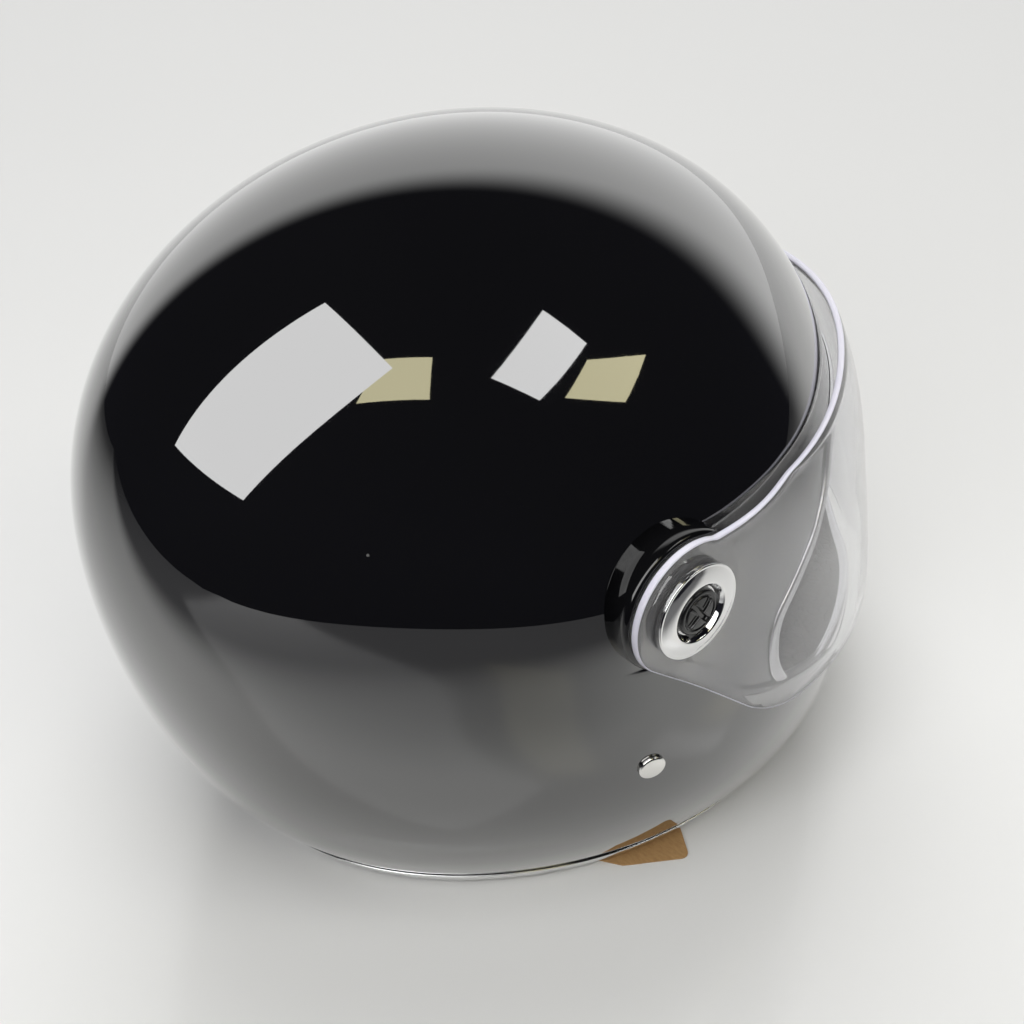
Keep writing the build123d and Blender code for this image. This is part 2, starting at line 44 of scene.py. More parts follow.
# ------------------------------------------------------------------ the helmet's form, in millimetres
HALF_WIDTH, HALF_LENGTH, HALF_HEIGHT = 128.9, 159.0, 132.8
CENTRE_Y, CENTRE_Z = 7.5, 133.2
WIDTH_TAPER = (-0.426, -0.075, 0.159)
FLANK_FULLNESS, FLANK_REACH = 0.36, 0.3
LENGTH_TAPER = (-0.076, 0.107, -0.122)
LEAN_BACK, CROWN_FULLNESS = 29.6, 0.178
FACE_WIDENING, CORNER_TRIM = -0.048, -0.065
SHELL = 3.2
EDGE_LIFT = 1.6
ARCH, ARCH_FRONT, ARCH_REAR = 1.2, -92.0, 78.0
SEAT_DEPTH = 1.5
SEAT_TOP = [(-250, 171), (-31, 168), (26.5, 163), (250, 163)]
SEAT_FOOT = [(-250, 69), (-70, 72.5), (-20, 88.5), (2, 95.5), (26.5, 122), (250, 122)]
PORT = [(-250, 153.5), (-69.2, 153.5), (-17.4, 114.5), (-17.4, 76), (-250, 76)]
PORT_RADII = [35, 14, 28]
PIVOT_Y, PIVOT_Z = 30.5, 146.8
BASE_RADIUS, BASE_FACE = 25.5, 127.2
VISOR_INNER, VISOR_WALL = 128.0, 2.6
VISOR_GROW = (3.6, 6.6, 4.0)
TAB_RADIUS, BLEND_RADIUS = 24.4, 62.0
VISOR_TOP, VISOR_CORNER, VISOR_SLOPE = 169.0, (-8.2, 83.0), 0.092
CAP_REST = 131.3
BASE_BORE = 4.3
STRAP_Y, RIVET_Z = 36.4, 76.3
SIDES = {"right": -1, "left": 1}


def level_of(height, grow_up):
    level = (height - CENTRE_Z) / (HALF_HEIGHT + grow_up)
    rise = 1 + CROWN_FULLNESS
    return (rise - np.sqrt(np.maximum(rise * rise - 4 * CROWN_FULLNESS * level, 0))) / (2 * CROWN_FULLNESS)


def form(up, turn, grow):
    """Points on the form, moved out by grow: one number, or three for sides, front and top."""
    gx, gy, gz = grow if isinstance(grow, tuple) else (grow, grow, grow)
    out = np.sqrt(np.maximum(0, 1 - up * up))
    dx, dy = out * np.cos(turn), out * np.sin(turn)
    square = 1 + CORNER_TRIM * 4 * (np.cos(turn) * np.sin(turn)) ** 2 * out**4
    a, b, c = WIDTH_TAPER
    flank = FLANK_FULLNESS * up / (1 + (up / FLANK_REACH) ** 2)
    wide = 1 + a * up + b * up**2 + c * up**3 + flank
    a, b, c = LENGTH_TAPER
    long_ = 1 + a * up + b * up**2 + c * up**3
    x = (HALF_WIDTH + gx) * dx * wide * (1 + FACE_WIDENING * dy) * square
    y = (HALF_LENGTH + gy) * dy * long_ * square + LEAN_BACK * up + CENTRE_Y
    z = CENTRE_Z + (HALF_HEIGHT + gz) * up * (1 + CROWN_FULLNESS * (1 - up))
    return np.stack(np.broadcast_arrays(x, y, z), -1)


def at_height(z, turn, grow):
    """Points on the form at given heights."""
    grow_up = grow[2] if isinstance(grow, tuple) else grow
    return form(level_of(z, grow_up), turn, grow)


def turn_at(y, z, grow):
    """Turn, on the wearer's left, at which the form reaches y at height z."""
    y, z = np.broadcast_arrays(np.asarray(y, float), np.asarray(z, float))
    low, high = np.full(y.shape, -pi / 2), np.full(y.shape, pi / 2)
    for _ in range(40):
        middle = (low + high) / 2
        short = at_height(z, middle, grow)[..., 1] < y
        low, high = np.where(short, middle, low), np.where(short, high, middle)
    return (low + high) / 2


def normals(surface, *params):
    """Outward normals of a surface given as a function of two arrays."""
    step = 1e-4
    a, b = params
    da = surface(a + step, b) - surface(a - step, b)
    db = surface(a, b + step) - surface(a, b - step)
    n = np.cross(da, db)
    return n / np.linalg.norm(n, axis=-1, keepdims=True)


def smooth(t):
    t = np.clip(t, 0, 1)
    return t * t * (3 - 2 * t)


def rounded(points, radii, steps=14):
    """Open polyline with its inner corners rounded by the given radii."""
    path = [np.array(points[0], float)]
    for before, corner, after, radius in zip(points, points[1:], points[2:], radii):
        corner = np.array(corner, float)
        u = np.array(before, float) - corner
        v = np.array(after, float) - corner
        u, v = u / np.linalg.norm(u), v / np.linalg.norm(v)
        half = np.arccos(np.clip(u @ v, -1, 1)) / 2
        reach = radius / np.tan(half)
        centre = corner + (u + v) / np.linalg.norm(u + v) * radius / np.sin(half)
        start, end = corner + u * reach - centre, corner + v * reach - centre
        a0 = atan2(start[1], start[0])
        sweep = (atan2(end[1], end[0]) - a0 + pi) % (2 * pi) - pi
        for k in range(steps + 1):
            a = a0 + sweep * k / steps
            path.append(centre + radius * np.array([cos(a), sin(a)]))
    path.append(np.array(points[-1], float))
    return np.array(path)


def resample(path, spacing, closed=False):
    """Points at an even spacing along a polyline."""
    path = np.asarray(path, float)
    if closed:
        path = np.vstack([path, path[:1]])
    run = np.concatenate([[0], np.cumsum(np.linalg.norm(np.diff(path, axis=0), axis=1))])
    count = max(2, int(round(run[-1] / spacing)))
    at = np.linspace(0, run[-1], count + 1)
    if closed:
        at = at[:-1]
    return np.stack([np.interp(at, run, path[:, k]) for k in range(path.shape[1])], -1)


# ------------------------------------------------------------------ meshes
def piece(name, verts, faces, material, body="root", replaces=(), smooth_shading=True):
    """One visible mesh piece, from points in millimetres."""
    mesh = bpy.data.meshes.new(name)
    mesh.from_pydata((np.asarray(verts, float) * MM).tolist(), [], [list(map(int, f)) for f in faces])
    mesh.validate()
    obj = bpy.data.objects.new(name, mesh)
    bpy.context.scene.collection.objects.link(obj)
    finish_piece(obj, material, body, replaces, smooth_shading)
    return obj


def finish_piece(obj, material, body="root", replaces=(), smooth_shading=True):
    obj.data.materials.clear()
    obj.data.materials.append(material)
    if smooth_shading:
        obj.data.shade_smooth()
    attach(obj, body)
    if replaces:
        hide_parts(*replaces)


def grid_faces(rows, columns, closed):
    """Quads over a grid of points, rows by columns, closed around the columns or open."""
    across = columns if closed else columns - 1
    r, c = np.meshgrid(np.arange(rows - 1), np.arange(across), indexing="ij")
    nxt = (c + 1) % columns
    return np.stack([r * columns + c, r * columns + nxt, (r + 1) * columns + nxt,
                     (r + 1) * columns + c], -1).reshape(-1, 4)


def closed_skin(outer, inner, faces):
    """Close two copies of an open surface into one solid."""
    count = len(outer)
    edges = {}
    for face in faces:
        for a, b in zip(face, list(face[1:]) + [face[0]]):
            edges[(int(a), int(b))] = edges.get((int(a), int(b)), 0) + 1
    rim = [(b, a, a + count, b + count) for a, b in edges if (b, a) not in edges]
    back = [[int(k) + count for k in reversed(list(face))] for face in faces]
    return np.vstack([outer, inner]), [list(map(int, f)) for f in faces] + back + rim


def lathe(plane, profile, steps=128, cap_ends=False):
    """Turned points about a plane's normal, from (height, radius) points."""
    origin, u, v, n = plane
    turns = np.linspace(0, 2 * pi, steps, endpoint=False)
    ring = np.cos(turns)[:, None] * u + np.sin(turns)[:, None] * v
    verts = np.concatenate([origin + n * h + ring * r for h, r in profile])
    faces = grid_faces(len(profile), steps, True).tolist()
    if cap_ends:
        faces.append(list(range(steps))[::-1])
        faces.append([(len(profile) - 1) * steps + k for k in range(steps)])
    return verts, faces


def pivot_plane(side):
    """Origin, two directions across and the direction along the visor's pivot axis, facing out."""
    return (np.array([0, PIVOT_Y, PIVOT_Z], float), np.array([0, 1.0, 0]),
            np.array([0, 0, 1.0]) * side, np.array([side, 0, 0], float))


def sweep_loop(centres, across, out, profile):
    """Closed tube: a profile of (across, out) points carried around a closed line."""
    verts = np.concatenate([centres + across * a + out * o for a, o in profile])
    return verts, tube_faces(len(profile), len(centres))


def tube_faces(rows, columns):
    """Quads over a grid of points that is closed both ways."""
    faces = grid_faces(rows, columns, True).tolist()
    last = (rows - 1) * columns
    return faces + [[last + c, last + (c + 1) % columns, (c + 1) % columns, c] for c in range(columns)]


# ------------------------------------------------------------------ materials
class Nodes:
    """A short way to write one node tree."""

    def __init__(self, tree):
        self.tree = tree

    def add(self, kind, **values):
        node = self.tree.nodes.new(kind)
        inputs = {k: v for k, v in values.items() if not hasattr(node, k)}
        for key, value in values.items():
            if key not in inputs:
                setattr(node, key, value)
        for key, value in inputs.items():
            socket = node.inputs[int(key[1:])] if key[0] == "i" and key[1:].isdigit() else node.inputs[key]
            self.put(socket, value)
        return node

    def put(self, socket, value):
        if isinstance(value, bpy.types.NodeSocket):
            self.tree.links.new(value, socket)
        else:
            socket.default_value = value

    def math(self, operation, a, b=0.0, clamp=False):
        return self.add("ShaderNodeMath", operation=operation, i0=a, i1=b, use_clamp=clamp).outputs[0]

    def noise(self, place, scale, detail=3.0, roughness=0.5):
        node = self.add("ShaderNodeTexNoise", Vector=place, Scale=scale, Detail=detail)
        node.inputs["Roughness"].default_value = roughness
        return node.outputs["Fac"]

    def span(self, value, low, high, to_low, to_high, smoothly=False):
        node = self.add("ShaderNodeMapRange", Value=value)
        if smoothly:
            node.interpolation_type = "SMOOTHSTEP"
        for key, number in zip((1, 2, 3, 4), (low, high, to_low, to_high)):
            self.put(node.inputs[key], number)
        return node.outputs[0]

    def mix(self, amount, a, b):
        node = self.add("ShaderNodeMix", data_type="RGBA")
        self.put(node.inputs[0], amount)
        for socket, value in ((node.inputs[6], a), (node.inputs[7], b)):
            self.put(socket, value if isinstance(value, bpy.types.NodeSocket) else (*value, 1.0))
        return node.outputs[2]

    def bump(self, height, distance, strength=1.0, before=None):
        node = self.add("ShaderNodeBump", Height=height)
        node.inputs["Strength"].default_value = strength
        node.inputs["Distance"].default_value = distance
        if before is not None:
            self.put(node.inputs["Normal"], before)
        return node.outputs[0]


def new_material(name, **sockets):
    """A Principled material with plain numbers set on the shader's own sockets."""
    material = bpy.data.materials.new(name)
    material.use_nodes = True
    tree = material.node_tree
    shader = next(n for n in tree.nodes if n.type == "BSDF_PRINCIPLED")
    for key, value in sockets.items():
        socket = shader.inputs[key.replace("_", " ")]
        socket.default_value = (*value, 1.0) if isinstance(value, tuple) else value
    kit = Nodes(tree)
    place = kit.add("ShaderNodeTexCoord").outputs["Object"]
    return material, kit, shader, place


def link(kit, shader, **sockets):
    for key, value in sockets.items():
        kit.put(shader.inputs[key.replace("_", " ")], value)


def shell_paint():
    """Black paint under clear lacquer: a trace of orange peel, fine dust and polishing marks."""
    m, k, s, at = new_material("shell_paint", IOR=1.7, Coat_Weight=1.0, Coat_IOR=1.82,
                               Coat_Roughness=0.01)
    wide = k.noise(at, 9.0, 2.0)
    fine = k.noise(at, 900.0, 4.0)
    dust = k.add("ShaderNodeTexVoronoi", Vector=at, Scale=52.0)
    speck = k.span(dust.outputs["Distance"], 0.018, 0.03, 1.0, 0.0)
    rare = k.span(dust.outputs["Color"], 0.0, 1.0, 0.0, 1.0)
    rare = k.math("GREATER_THAN", rare, 0.72)
    speck = k.math("MULTIPLY", speck, rare)
    black = k.mix(wide, (0.0032, 0.0032, 0.0038), (0.0046, 0.0046, 0.0052))
    color = k.mix(k.math("MULTIPLY", speck, 0.35), black, (0.35, 0.35, 0.34))
    rough = k.math("ADD", k.span(fine, 0.3, 0.7, 0.018, 0.034), k.math("MULTIPLY", speck, 0.4))
    link(k, s, Base_Color=color, Roughness=rough,
         Normal=k.bump(wide, 0.0006, 0.12, k.bump(k.noise(at, 220.0, 2.0), 0.00002, 0.12)))
    return m


def chrome(name, color=(0.83, 0.83, 0.83), rough=(0.03, 0.07), marks=1.0):
    """Plated plastic or metal with faint wipe marks."""
    m, k, s, at = new_material(name, Metallic=1.0)
    wear = k.noise(at, 140.0, 5.0, 0.6)
    tone = k.mix(k.noise(at, 30.0, 2.0), color, tuple(c * 0.93 for c in color))
    scratch = k.add("ShaderNodeTexWave", Vector=at, Scale=260.0, Distortion=18.0)
    link(k, s, Base_Color=tone, Roughness=k.span(wear, 0.3, 0.7, *rough),
         Normal=k.bump(scratch.outputs["Fac"], 0.000004 * marks, 0.25))
    return m


def moulded(name, color, rough=(0.3, 0.42), grain=600.0, depth=0.00004, **sockets):
    """Moulded plastic or rubber with a fine grain."""
    m, k, s, at = new_material(name, **sockets)
    fine = k.noise(at, grain, 4.0, 0.6)
    tone = k.mix(k.noise(at, 24.0, 3.0), color, tuple(c * 0.78 for c in color))
    link(k, s, Base_Color=tone, Roughness=k.span(fine, 0.3, 0.7, *rough),
         Normal=k.bump(fine, depth, 0.5))
    return m


def clear_sheet():
    """Clear polycarbonate, faintly violet through its edge."""
    m, k, s, at = new_material("visor_clear", IOR=1.58, Transmission_Weight=0.90, Roughness=0.0,
                               Base_Color=(0.955, 0.955, 0.97))
    haze = k.noise(at, 60.0, 4.0, 0.6)
    link(k, s, Roughness=k.span(haze, 0.45, 0.8, 0.0, 0.03),
         Normal=k.bump(k.noise(at, 7.0, 1.0), 0.0004, 0.05))
    return m


def sheet_edge():
    """Cut edge of the sheet, which gathers light and shows a pale violet line."""
    m, k, s, at = new_material("visor_edge", IOR=1.50, Transmission_Weight=0.25)
    streak = k.noise(at, 90.0, 3.0)
    link(k, s, Base_Color=k.mix(streak, (0.80, 0.79, 0.93), (0.92, 0.90, 0.99)),
         Roughness=k.span(streak, 0.3, 0.7, 0.12, 0.25))
    return m


def bead_foam():
    """Expanded polystyrene: round beads pressed together, each a little different."""
    m, k, s, at = new_material("bead_foam")
    cell = k.add("ShaderNodeTexVoronoi", Vector=at, Scale=330.0)
    edge = k.add("ShaderNodeTexVoronoi", Vector=at, Scale=330.0, feature="DISTANCE_TO_EDGE")
    tone = k.mix(cell.outputs["Color"], (0.030, 0.030, 0.032), (0.052, 0.052, 0.055))
    seam = k.span(edge.outputs["Distance"], 0.0, 0.12, 0.0, 1.0, True)
    link(k, s, Base_Color=k.mix(seam, (0.014, 0.014, 0.015), tone),
         Roughness=k.span(seam, 0, 1, 0.85, 0.62), Normal=k.bump(seam, 0.0004, 0.6))
    return m


def knit(name, color, scale=520.0, sheen=0.35):
    """Brushed knit: crossed rows of loops under a soft nap, with painted shade in the hollows between them.
    """
    m, k, s, at = new_material(name, Sheen_Weight=sheen, Sheen_Roughness=0.45,
                               Specular_IOR_Level=0.25)
    rows = k.add("ShaderNodeTexWave", Vector=at, Scale=scale / 6.3, Distortion=0.6,
                 bands_direction="Z").outputs["Fac"]
    wales = k.add("ShaderNodeTexWave", Vector=at, Scale=scale / 6.3, Distortion=0.6,
                  bands_direction="DIAGONAL").outputs["Fac"]
    loops = k.math("MULTIPLY", rows, wales)
    nap = k.noise(at, 1500.0, 3.0, 0.7)
    height = k.math("ADD", loops, k.math("MULTIPLY", nap, 0.6))
    pile = k.noise(at, 14.0, 3.0)
    base = k.mix(pile, color, tuple(c * 0.62 for c in color))
    # Painted shade: the colour darkens to 45 % in the hollows of the loops and nap, following the bump's
    # height.
    tone = k.mix(k.span(height, 0.2, 1.3, 0.0, 1.0), tuple(c * 0.45 for c in color), base)
    link(k, s, Base_Color=tone, Roughness=k.span(nap, 0.3, 0.7, 0.82, 0.97),
         Normal=k.bump(height, 0.00045, 0.7))
    return m


def webbing_cloth():
    """Woven nylon webbing: a tight herringbone of shiny yarns, with painted light on the raised yarns and
    painted shade between them.
    """
    m, k, s, at = new_material("webbing", Sheen_Weight=0.2, Sheen_Roughness=0.4)
    warp = k.add("ShaderNodeTexWave", Vector=at, Scale=95.0, Distortion=0.3,
                 bands_direction="Y").outputs["Fac"]
    weft = k.add("ShaderNodeTexWave", Vector=at, Scale=130.0, Distortion=0.5,
                 bands_direction="Z").outputs["Fac"]
    yarn = k.math("MAXIMUM", warp, k.math("MULTIPLY", weft, 0.8))
    fuzz = k.noise(at, 1200.0, 3.0)
    # Painted light and shade: the colour is lighter on the raised yarns and darker between them, following
    # the bump's height.
    tone = k.mix(yarn, (0.008, 0.008, 0.009), (0.032, 0.032, 0.035))
    link(k, s, Base_Color=tone, Roughness=k.span(fuzz, 0.3, 0.7, 0.5, 0.72),
         Normal=k.bump(k.math("ADD", yarn, k.math("MULTIPLY", fuzz, 0.3)), 0.0005, 0.8))
    return m


def kraft_card():
    """Uncoated brown card with long fibres."""
    m, k, s, at = new_material("kraft_card")
    stretch = k.add("ShaderNodeMapping", Vector=at, Scale=(1.0, 2.6, 1.0),
                    Rotation=(0, 0, 0.63)).outputs[0]
    fibre = k.noise(stretch, 260.0, 6.0, 0.7)
    cloud = k.noise(at, 40.0, 3.0)
    tone = k.mix(k.span(fibre, 0.3, 0.7, 0.0, 1.0), (0.30, 0.165, 0.062), (0.46, 0.285, 0.125))
    tone = k.mix(k.math("MULTIPLY", cloud, 0.5), tone, (0.36, 0.21, 0.085))
    link(k, s, Base_Color=tone, Roughness=k.span(fibre, 0.3, 0.7, 0.72, 0.9),
         Normal=k.bump(fibre, 0.00012, 0.5))
    return m


def zinc_steel(name="zinc_steel"):
    """Zinc-plated steel: bright, faintly clouded and drawn."""
    m, k, s, at = new_material(name, Metallic=1.0)
    cloud = k.noise(at, 90.0, 4.0, 0.6)
    tone = k.mix(cloud, (0.52, 0.53, 0.55), (0.70, 0.71, 0.72))
    link(k, s, Base_Color=tone, Roughness=k.span(cloud, 0.3, 0.7, 0.18, 0.34),
         Normal=k.bump(k.noise(at, 700.0, 3.0), 0.00003, 0.4))
    return m


PAINT = shell_paint()
CHROME = chrome("chrome")
TRIM_CHROME = chrome("trim_chrome", (0.86, 0.86, 0.86), (0.05, 0.11))
PORT_BEAD = chrome("port_bead", (0.74, 0.74, 0.75), (0.12, 0.2))
BASE_BLACK = moulded("base_black", (0.004, 0.004, 0.0045), (0.04, 0.08), 500.0, 0.000006, IOR=1.6)
SCREW_BLACK = moulded("screw_black", (0.010, 0.010, 0.011), (0.12, 0.22), 420.0, 0.00002, IOR=1.55)
NYLON = moulded("nylon", (0.62, 0.62, 0.60), (0.35, 0.5), 500.0, 0.00002)
SNAP_PLASTIC = moulded("snap_plastic", (0.02, 0.02, 0.021), (0.35, 0.5), 500.0, 0.00003)
RIVET = chrome("rivet_plate", (0.88, 0.87, 0.84), (0.10, 0.18))
VISOR_CLEAR = clear_sheet()
VISOR_EDGE = sheet_edge()
FOAM = bead_foam()
LINING = knit("lining_knit", (0.040, 0.040, 0.044))
PAD = knit("pad_knit", (0.055, 0.055, 0.060), 640.0)
WEBBING = webbing_cloth()
CARD = kraft_card()
STEEL = zinc_steel()

# ------------------------------------------------------------------ camera
camera_data = bpy.data.cameras.new("camera")
camera_data.lens, camera_data.sensor_width = 61.09, 36.0
camera_data.clip_start, camera_data.clip_end = 0.01, 60.0
camera = bpy.data.objects.new("camera", camera_data)
camera.location = Vector((-421.96, 360.52, 489.61)) * MM
camera.rotation_euler = Vector((0.617186, -0.538498, -0.573673)).to_track_quat("-Z", "Y").to_euler()
bpy.context.scene.collection.objects.link(camera)
bpy.context.scene.camera = camera


# ------------------------------------------------------------------ outer shell
def line_heights(line, grow=0.0):
    """Height of a side-view line (y, z) as a function of the turn on the left side."""
    dense = resample(line, 2.0)
    reach = at_height(dense[:, 1], np.full(len(dense), -pi / 2), grow)[:, 1]
    inside = dense[:, 0] > reach + 0.01
    y, z = dense[inside, 0], dense[inside, 1]
    turn = turn_at(y, z, grow)
    return np.concatenate([[-pi / 2 - 0.01], turn]), np.concatenate([[z[0]], z])


def shell_columns():
    """Turns of the shell's columns on the left side, closer together at the port's rear end."""
    even = np.linspace(-pi / 2, pi / 2, 211)
    end = turn_at(PORT[2][0], 96.0, 0.0)
    fine = end + np.radians(np.arange(-9, 4, 0.22))
    columns = np.unique(np.round(np.concatenate([even, fine]), 6))
    keep = np.concatenate([[True], np.diff(columns) > radians(0.12)])
    return columns[keep]


def port_heights():
    """The eye port's lower and upper edges over the turn, up to its rear end."""
    outline = resample(rounded(PORT, PORT_RADII), 0.5)
    reach = at_height(outline[:, 1], np.full(len(outline), -pi / 2), 0.0)[:, 1]
    outline = outline[outline[:, 0] > reach + 0.01]
    turn = turn_at(outline[:, 0], outline[:, 1], 0.0)
    tip = int(turn.argmax())
    return (turn[:tip + 1], outline[:tip + 1, 1]), (turn[:tip - 1:-1], outline[:tip - 1:-1, 1])


def build_shell():
    half = shell_columns()
    (up_turn, up_z), (low_turn, low_z) = port_heights()
    end = up_turn[-1]
    hole = half < end
    port_top = np.interp(half, up_turn, up_z)
    port_foot = np.interp(half, low_turn, low_z)
    seat_top = np.interp(half, *line_heights(SEAT_TOP))
    seat_foot = np.interp(half, *line_heights(rounded(SEAT_FOOT, [60, 60, 45, 6])))
    last = np.flatnonzero(hole)[-1]
    relax = smooth((half - half[last]) / radians(14))[~hole]
    seat_high = seat_top - seat_foot
    for values, rest in ((port_top, 0.6), (port_foot, 0.4)):
        share = (values[last] - seat_foot[last]) / seat_high[last]
        values[~hole] = (seat_foot + seat_high * rest)[~hole] * relax \
            + (seat_foot + seat_high * share)[~hole] * (1 - relax)
    foot_y = at_height(np.full(half.shape, 2.0), half, 0.0)[:, 1]
    middle = (ARCH_FRONT + ARCH_REAR) / 2
    rise = ARCH * np.clip(1 - ((foot_y - middle) / (ARCH_REAR - middle)) ** 2, 0, 1)
    foot = EDGE_LIFT + rise

    ramp = [(-0.9, 0.0), (-0.45, 0.08), (-0.1, 0.5), (0.2, 0.92), (0.6, 1.0)]
    rows = [(foot + (seat_foot - 0.9 - foot) * t, 0.0) for t in np.linspace(0, 1, 56)[:-1]]
    rows += [(seat_foot + d, w) for d, w in ramp]
    rows += [(seat_foot + 0.6 + (port_foot - seat_foot - 0.6) * t, 1.0) for t in np.linspace(0, 1, 10)[1:]]
    hole_start = len(rows) - 1
    rows += [(port_foot + (port_top - port_foot) * t, 1.0) for t in np.linspace(0, 1, 15)[1:]]
    hole_end = len(rows) - 1
    rows += [(port_top + (seat_top - 0.6 - port_top) * t, 1.0) for t in np.linspace(0, 1, 10)[1:-1]]
    rows += [(seat_top - d, w) for d, w in reversed(ramp)]
    heights = np.array([r[0] for r in rows])
    weight = np.array([r[1] for r in rows])[:, None]
    turns = np.broadcast_to(half, heights.shape)
    station = at_height(heights, turns, 0.0)[..., 1]
    sink = SEAT_DEPTH * weight * (1 - smooth((station - 30) / 18))

    top_level = level_of(heights[-1], 0.0)
    tilt = np.arcsin(top_level) + (pi / 2 - np.arcsin(top_level)) * np.linspace(0, 1, 100)[1:-1, None]
    levels = np.concatenate([level_of(heights, 0.0), np.sin(tilt)])
    sink = np.concatenate([sink, np.zeros(tilt.shape)])
    columns = np.concatenate([half, (pi - half)[::-1][1:-1]])
    mirror = np.concatenate([np.arange(len(half)), np.arange(len(half))[::-1][1:-1]])
    levels, sink = levels[:, mirror], sink[:, mirror]
    hole = hole[mirror]
    turns = np.broadcast_to(columns, levels.shape)

    def skin(grow):
        points = form(levels, turns, 0.0)
        n = normals(lambda a, b: form(a, b, 0.0), levels, turns)
        outward = (n * (points - [0, 7, 120])).sum(-1, keepdims=True) > 0
        n = np.where(outward, n, -n)
        points = points + n * (grow if grow is not None else -sink[..., None])
        crown = form(np.array([1.0]), np.array([0.0]), 0.0) + [[0, 0, grow or 0.0]]
        return np.vstack([points.reshape(-1, 3), crown])

    count = len(columns)
    faces = grid_faces(len(levels), count, True)
    row, column = np.divmod(np.arange(len(faces)), count)
    opening = (row >= hole_start) & (row < hole_end) & hole[column] & hole[(column + 1) % count]
    faces = faces[~opening].tolist()
    pole, ring = len(levels) * count, (len(levels) - 1) * count
    faces += [[ring + c, ring + (c + 1) % count, pole] for c in range(count)]
    verts, faces = closed_skin(skin(None), skin(-SHELL), faces)
    return piece("shell_painted", verts, faces, PAINT, replaces=["outer_shell"])


build_shell()


# ------------------------------------------------------------------ edge mouldings
def build_bottom_trim():
    """Chrome-look moulding clipped over the bottom edge: a rounded bead over a flat web."""
    turns = np.linspace(0, 2 * pi, 480, endpoint=False)
    foot_y = at_height(np.full(turns.shape, 2.0), turns, 0.0)[:, 1]
    middle = (ARCH_FRONT + ARCH_REAR) / 2
    rise = ARCH * np.clip(1 - ((foot_y - middle) / (ARCH_REAR - middle)) ** 2, 0, 1)
    profile = [(0.02, 7.5), (0.35, 7.62), (0.75, 7.5), (1.15, 6.9), (1.55, 6.0), (1.85, 4.9),
               (1.95, 3.8), (1.85, 2.7), (1.5, 1.6), (1.0, 0.75), (0.4, 0.22), (-0.3, 0.03),
               (-1.6, 0.0), (-3.2, 0.0), (-4.0, 0.15), (-4.4, 0.6), (-4.4, 7.2), (-4.2, 7.5),
               (-3.5, 7.5), (-3.22, 7.2), (-3.22, 1.7), (-0.02, 1.7), (-0.02, 4.0)]
    verts = []
    for grow, height in profile:
        lift = rise * np.clip((5.5 - height) / 5.5, 0, 1)
        base = at_height(height + lift, turns, 0.0)
        n = normals(lambda a, b: at_height(a, b, 0.0), height + lift, turns)
        n = np.where((n * (base - [0, 7, 60])).sum(-1, keepdims=True) > 0, n, -n)
        flat = n * [1, 1, 0]
        flat /= np.linalg.norm(flat, axis=-1, keepdims=True)
        verts.append(base + flat * grow)
    verts = np.concatenate(verts)
    piece("bottom_edge_bead", verts, tube_faces(len(profile), len(turns)), TRIM_CHROME,
          replaces=["bottom_edge_trim"])


build_bottom_trim()


def mirrored_loop(outline, grow, spacing):
    """Closed 3-D line around the front of the helmet from a side-view outline (y, z)."""
    outline = resample(outline, 0.8)
    reach = at_height(outline[:, 1], np.full(len(outline), -pi / 2), grow)[:, 1]
    outline = outline[outline[:, 0] > reach + 0.3]
    turn = turn_at(outline[:, 0], outline[:, 1], grow)
    start = np.linspace(-pi / 2, turn[0], 12)[:-1]
    stop = np.linspace(turn[-1], -pi / 2, 12)[1:]
    turn = np.concatenate([start, turn, stop])
    z = np.concatenate([np.full(len(start), outline[0, 1]), outline[:, 1],
                        np.full(len(stop), outline[-1, 1])])
    half = np.stack([turn, z], -1)
    other = np.stack([pi - turn, z], -1)[::-1][1:-1]
    line = np.vstack([half, other])
    points = at_height(line[:, 1], line[:, 0], grow)
    ring = resample(points, spacing, closed=True)
    for _ in range(3):
        ring = (np.roll(ring, 1, 0) + 2 * ring + np.roll(ring, -1, 0)) / 4
    return ring


def surface_normals(points):
    """Outward normals of the form nearest to points on it."""
    up = level_of(points[:, 2], 0.0)
    side = np.sign(points[:, 0]) + (points[:, 0] == 0)
    turn = turn_at(points[:, 1], points[:, 2], 0.0)
    turn = np.where(side > 0, turn, pi - turn)
    n = normals(lambda a, b: form(a, b, 0.0), up, turn)
    return np.where((n * (points - [0, 7, 120])).sum(-1, keepdims=True) > 0, n, -n)


def build_port_trim():
    """Bright bead around the eye port, clipped over the shell's edge."""
    centre = mirrored_loop(rounded(PORT, PORT_RADII), 0.0, 1.6)
    n = surface_normals(centre)
    along = np.roll(centre, -1, 0) - np.roll(centre, 1, 0)
    along /= np.linalg.norm(along, axis=1, keepdims=True)
    across = np.cross(along, n)
    across /= np.linalg.norm(across, axis=1, keepdims=True)
    middle = centre.mean(0)
    if ((centre + across * 5 - middle) ** 2).sum() < ((centre - across * 5 - middle) ** 2).sum():
        across = -across
    bead = [(4.5, -1.45), (4.35, -0.9), (3.7, -0.45), (2.6, -0.3), (1.2, -0.3), (0.0, -0.45),
            (-0.9, -0.85), (-1.4, -1.6), (-1.5, -2.6), (-1.4, -3.5), (-0.9, -4.1), (0.0, -4.4),
            (2.5, -4.4), (4.2, -4.3), (4.5, -3.8), (4.3, -3.22), (0.02, -3.22), (0.02, -1.52),
            (4.2, -1.52)]
    verts, faces = sweep_loop(centre, across, n, bead)
    piece("eye_port_bead", verts, faces, PORT_BEAD, replaces=["eye_port_trim"])


build_port_trim()


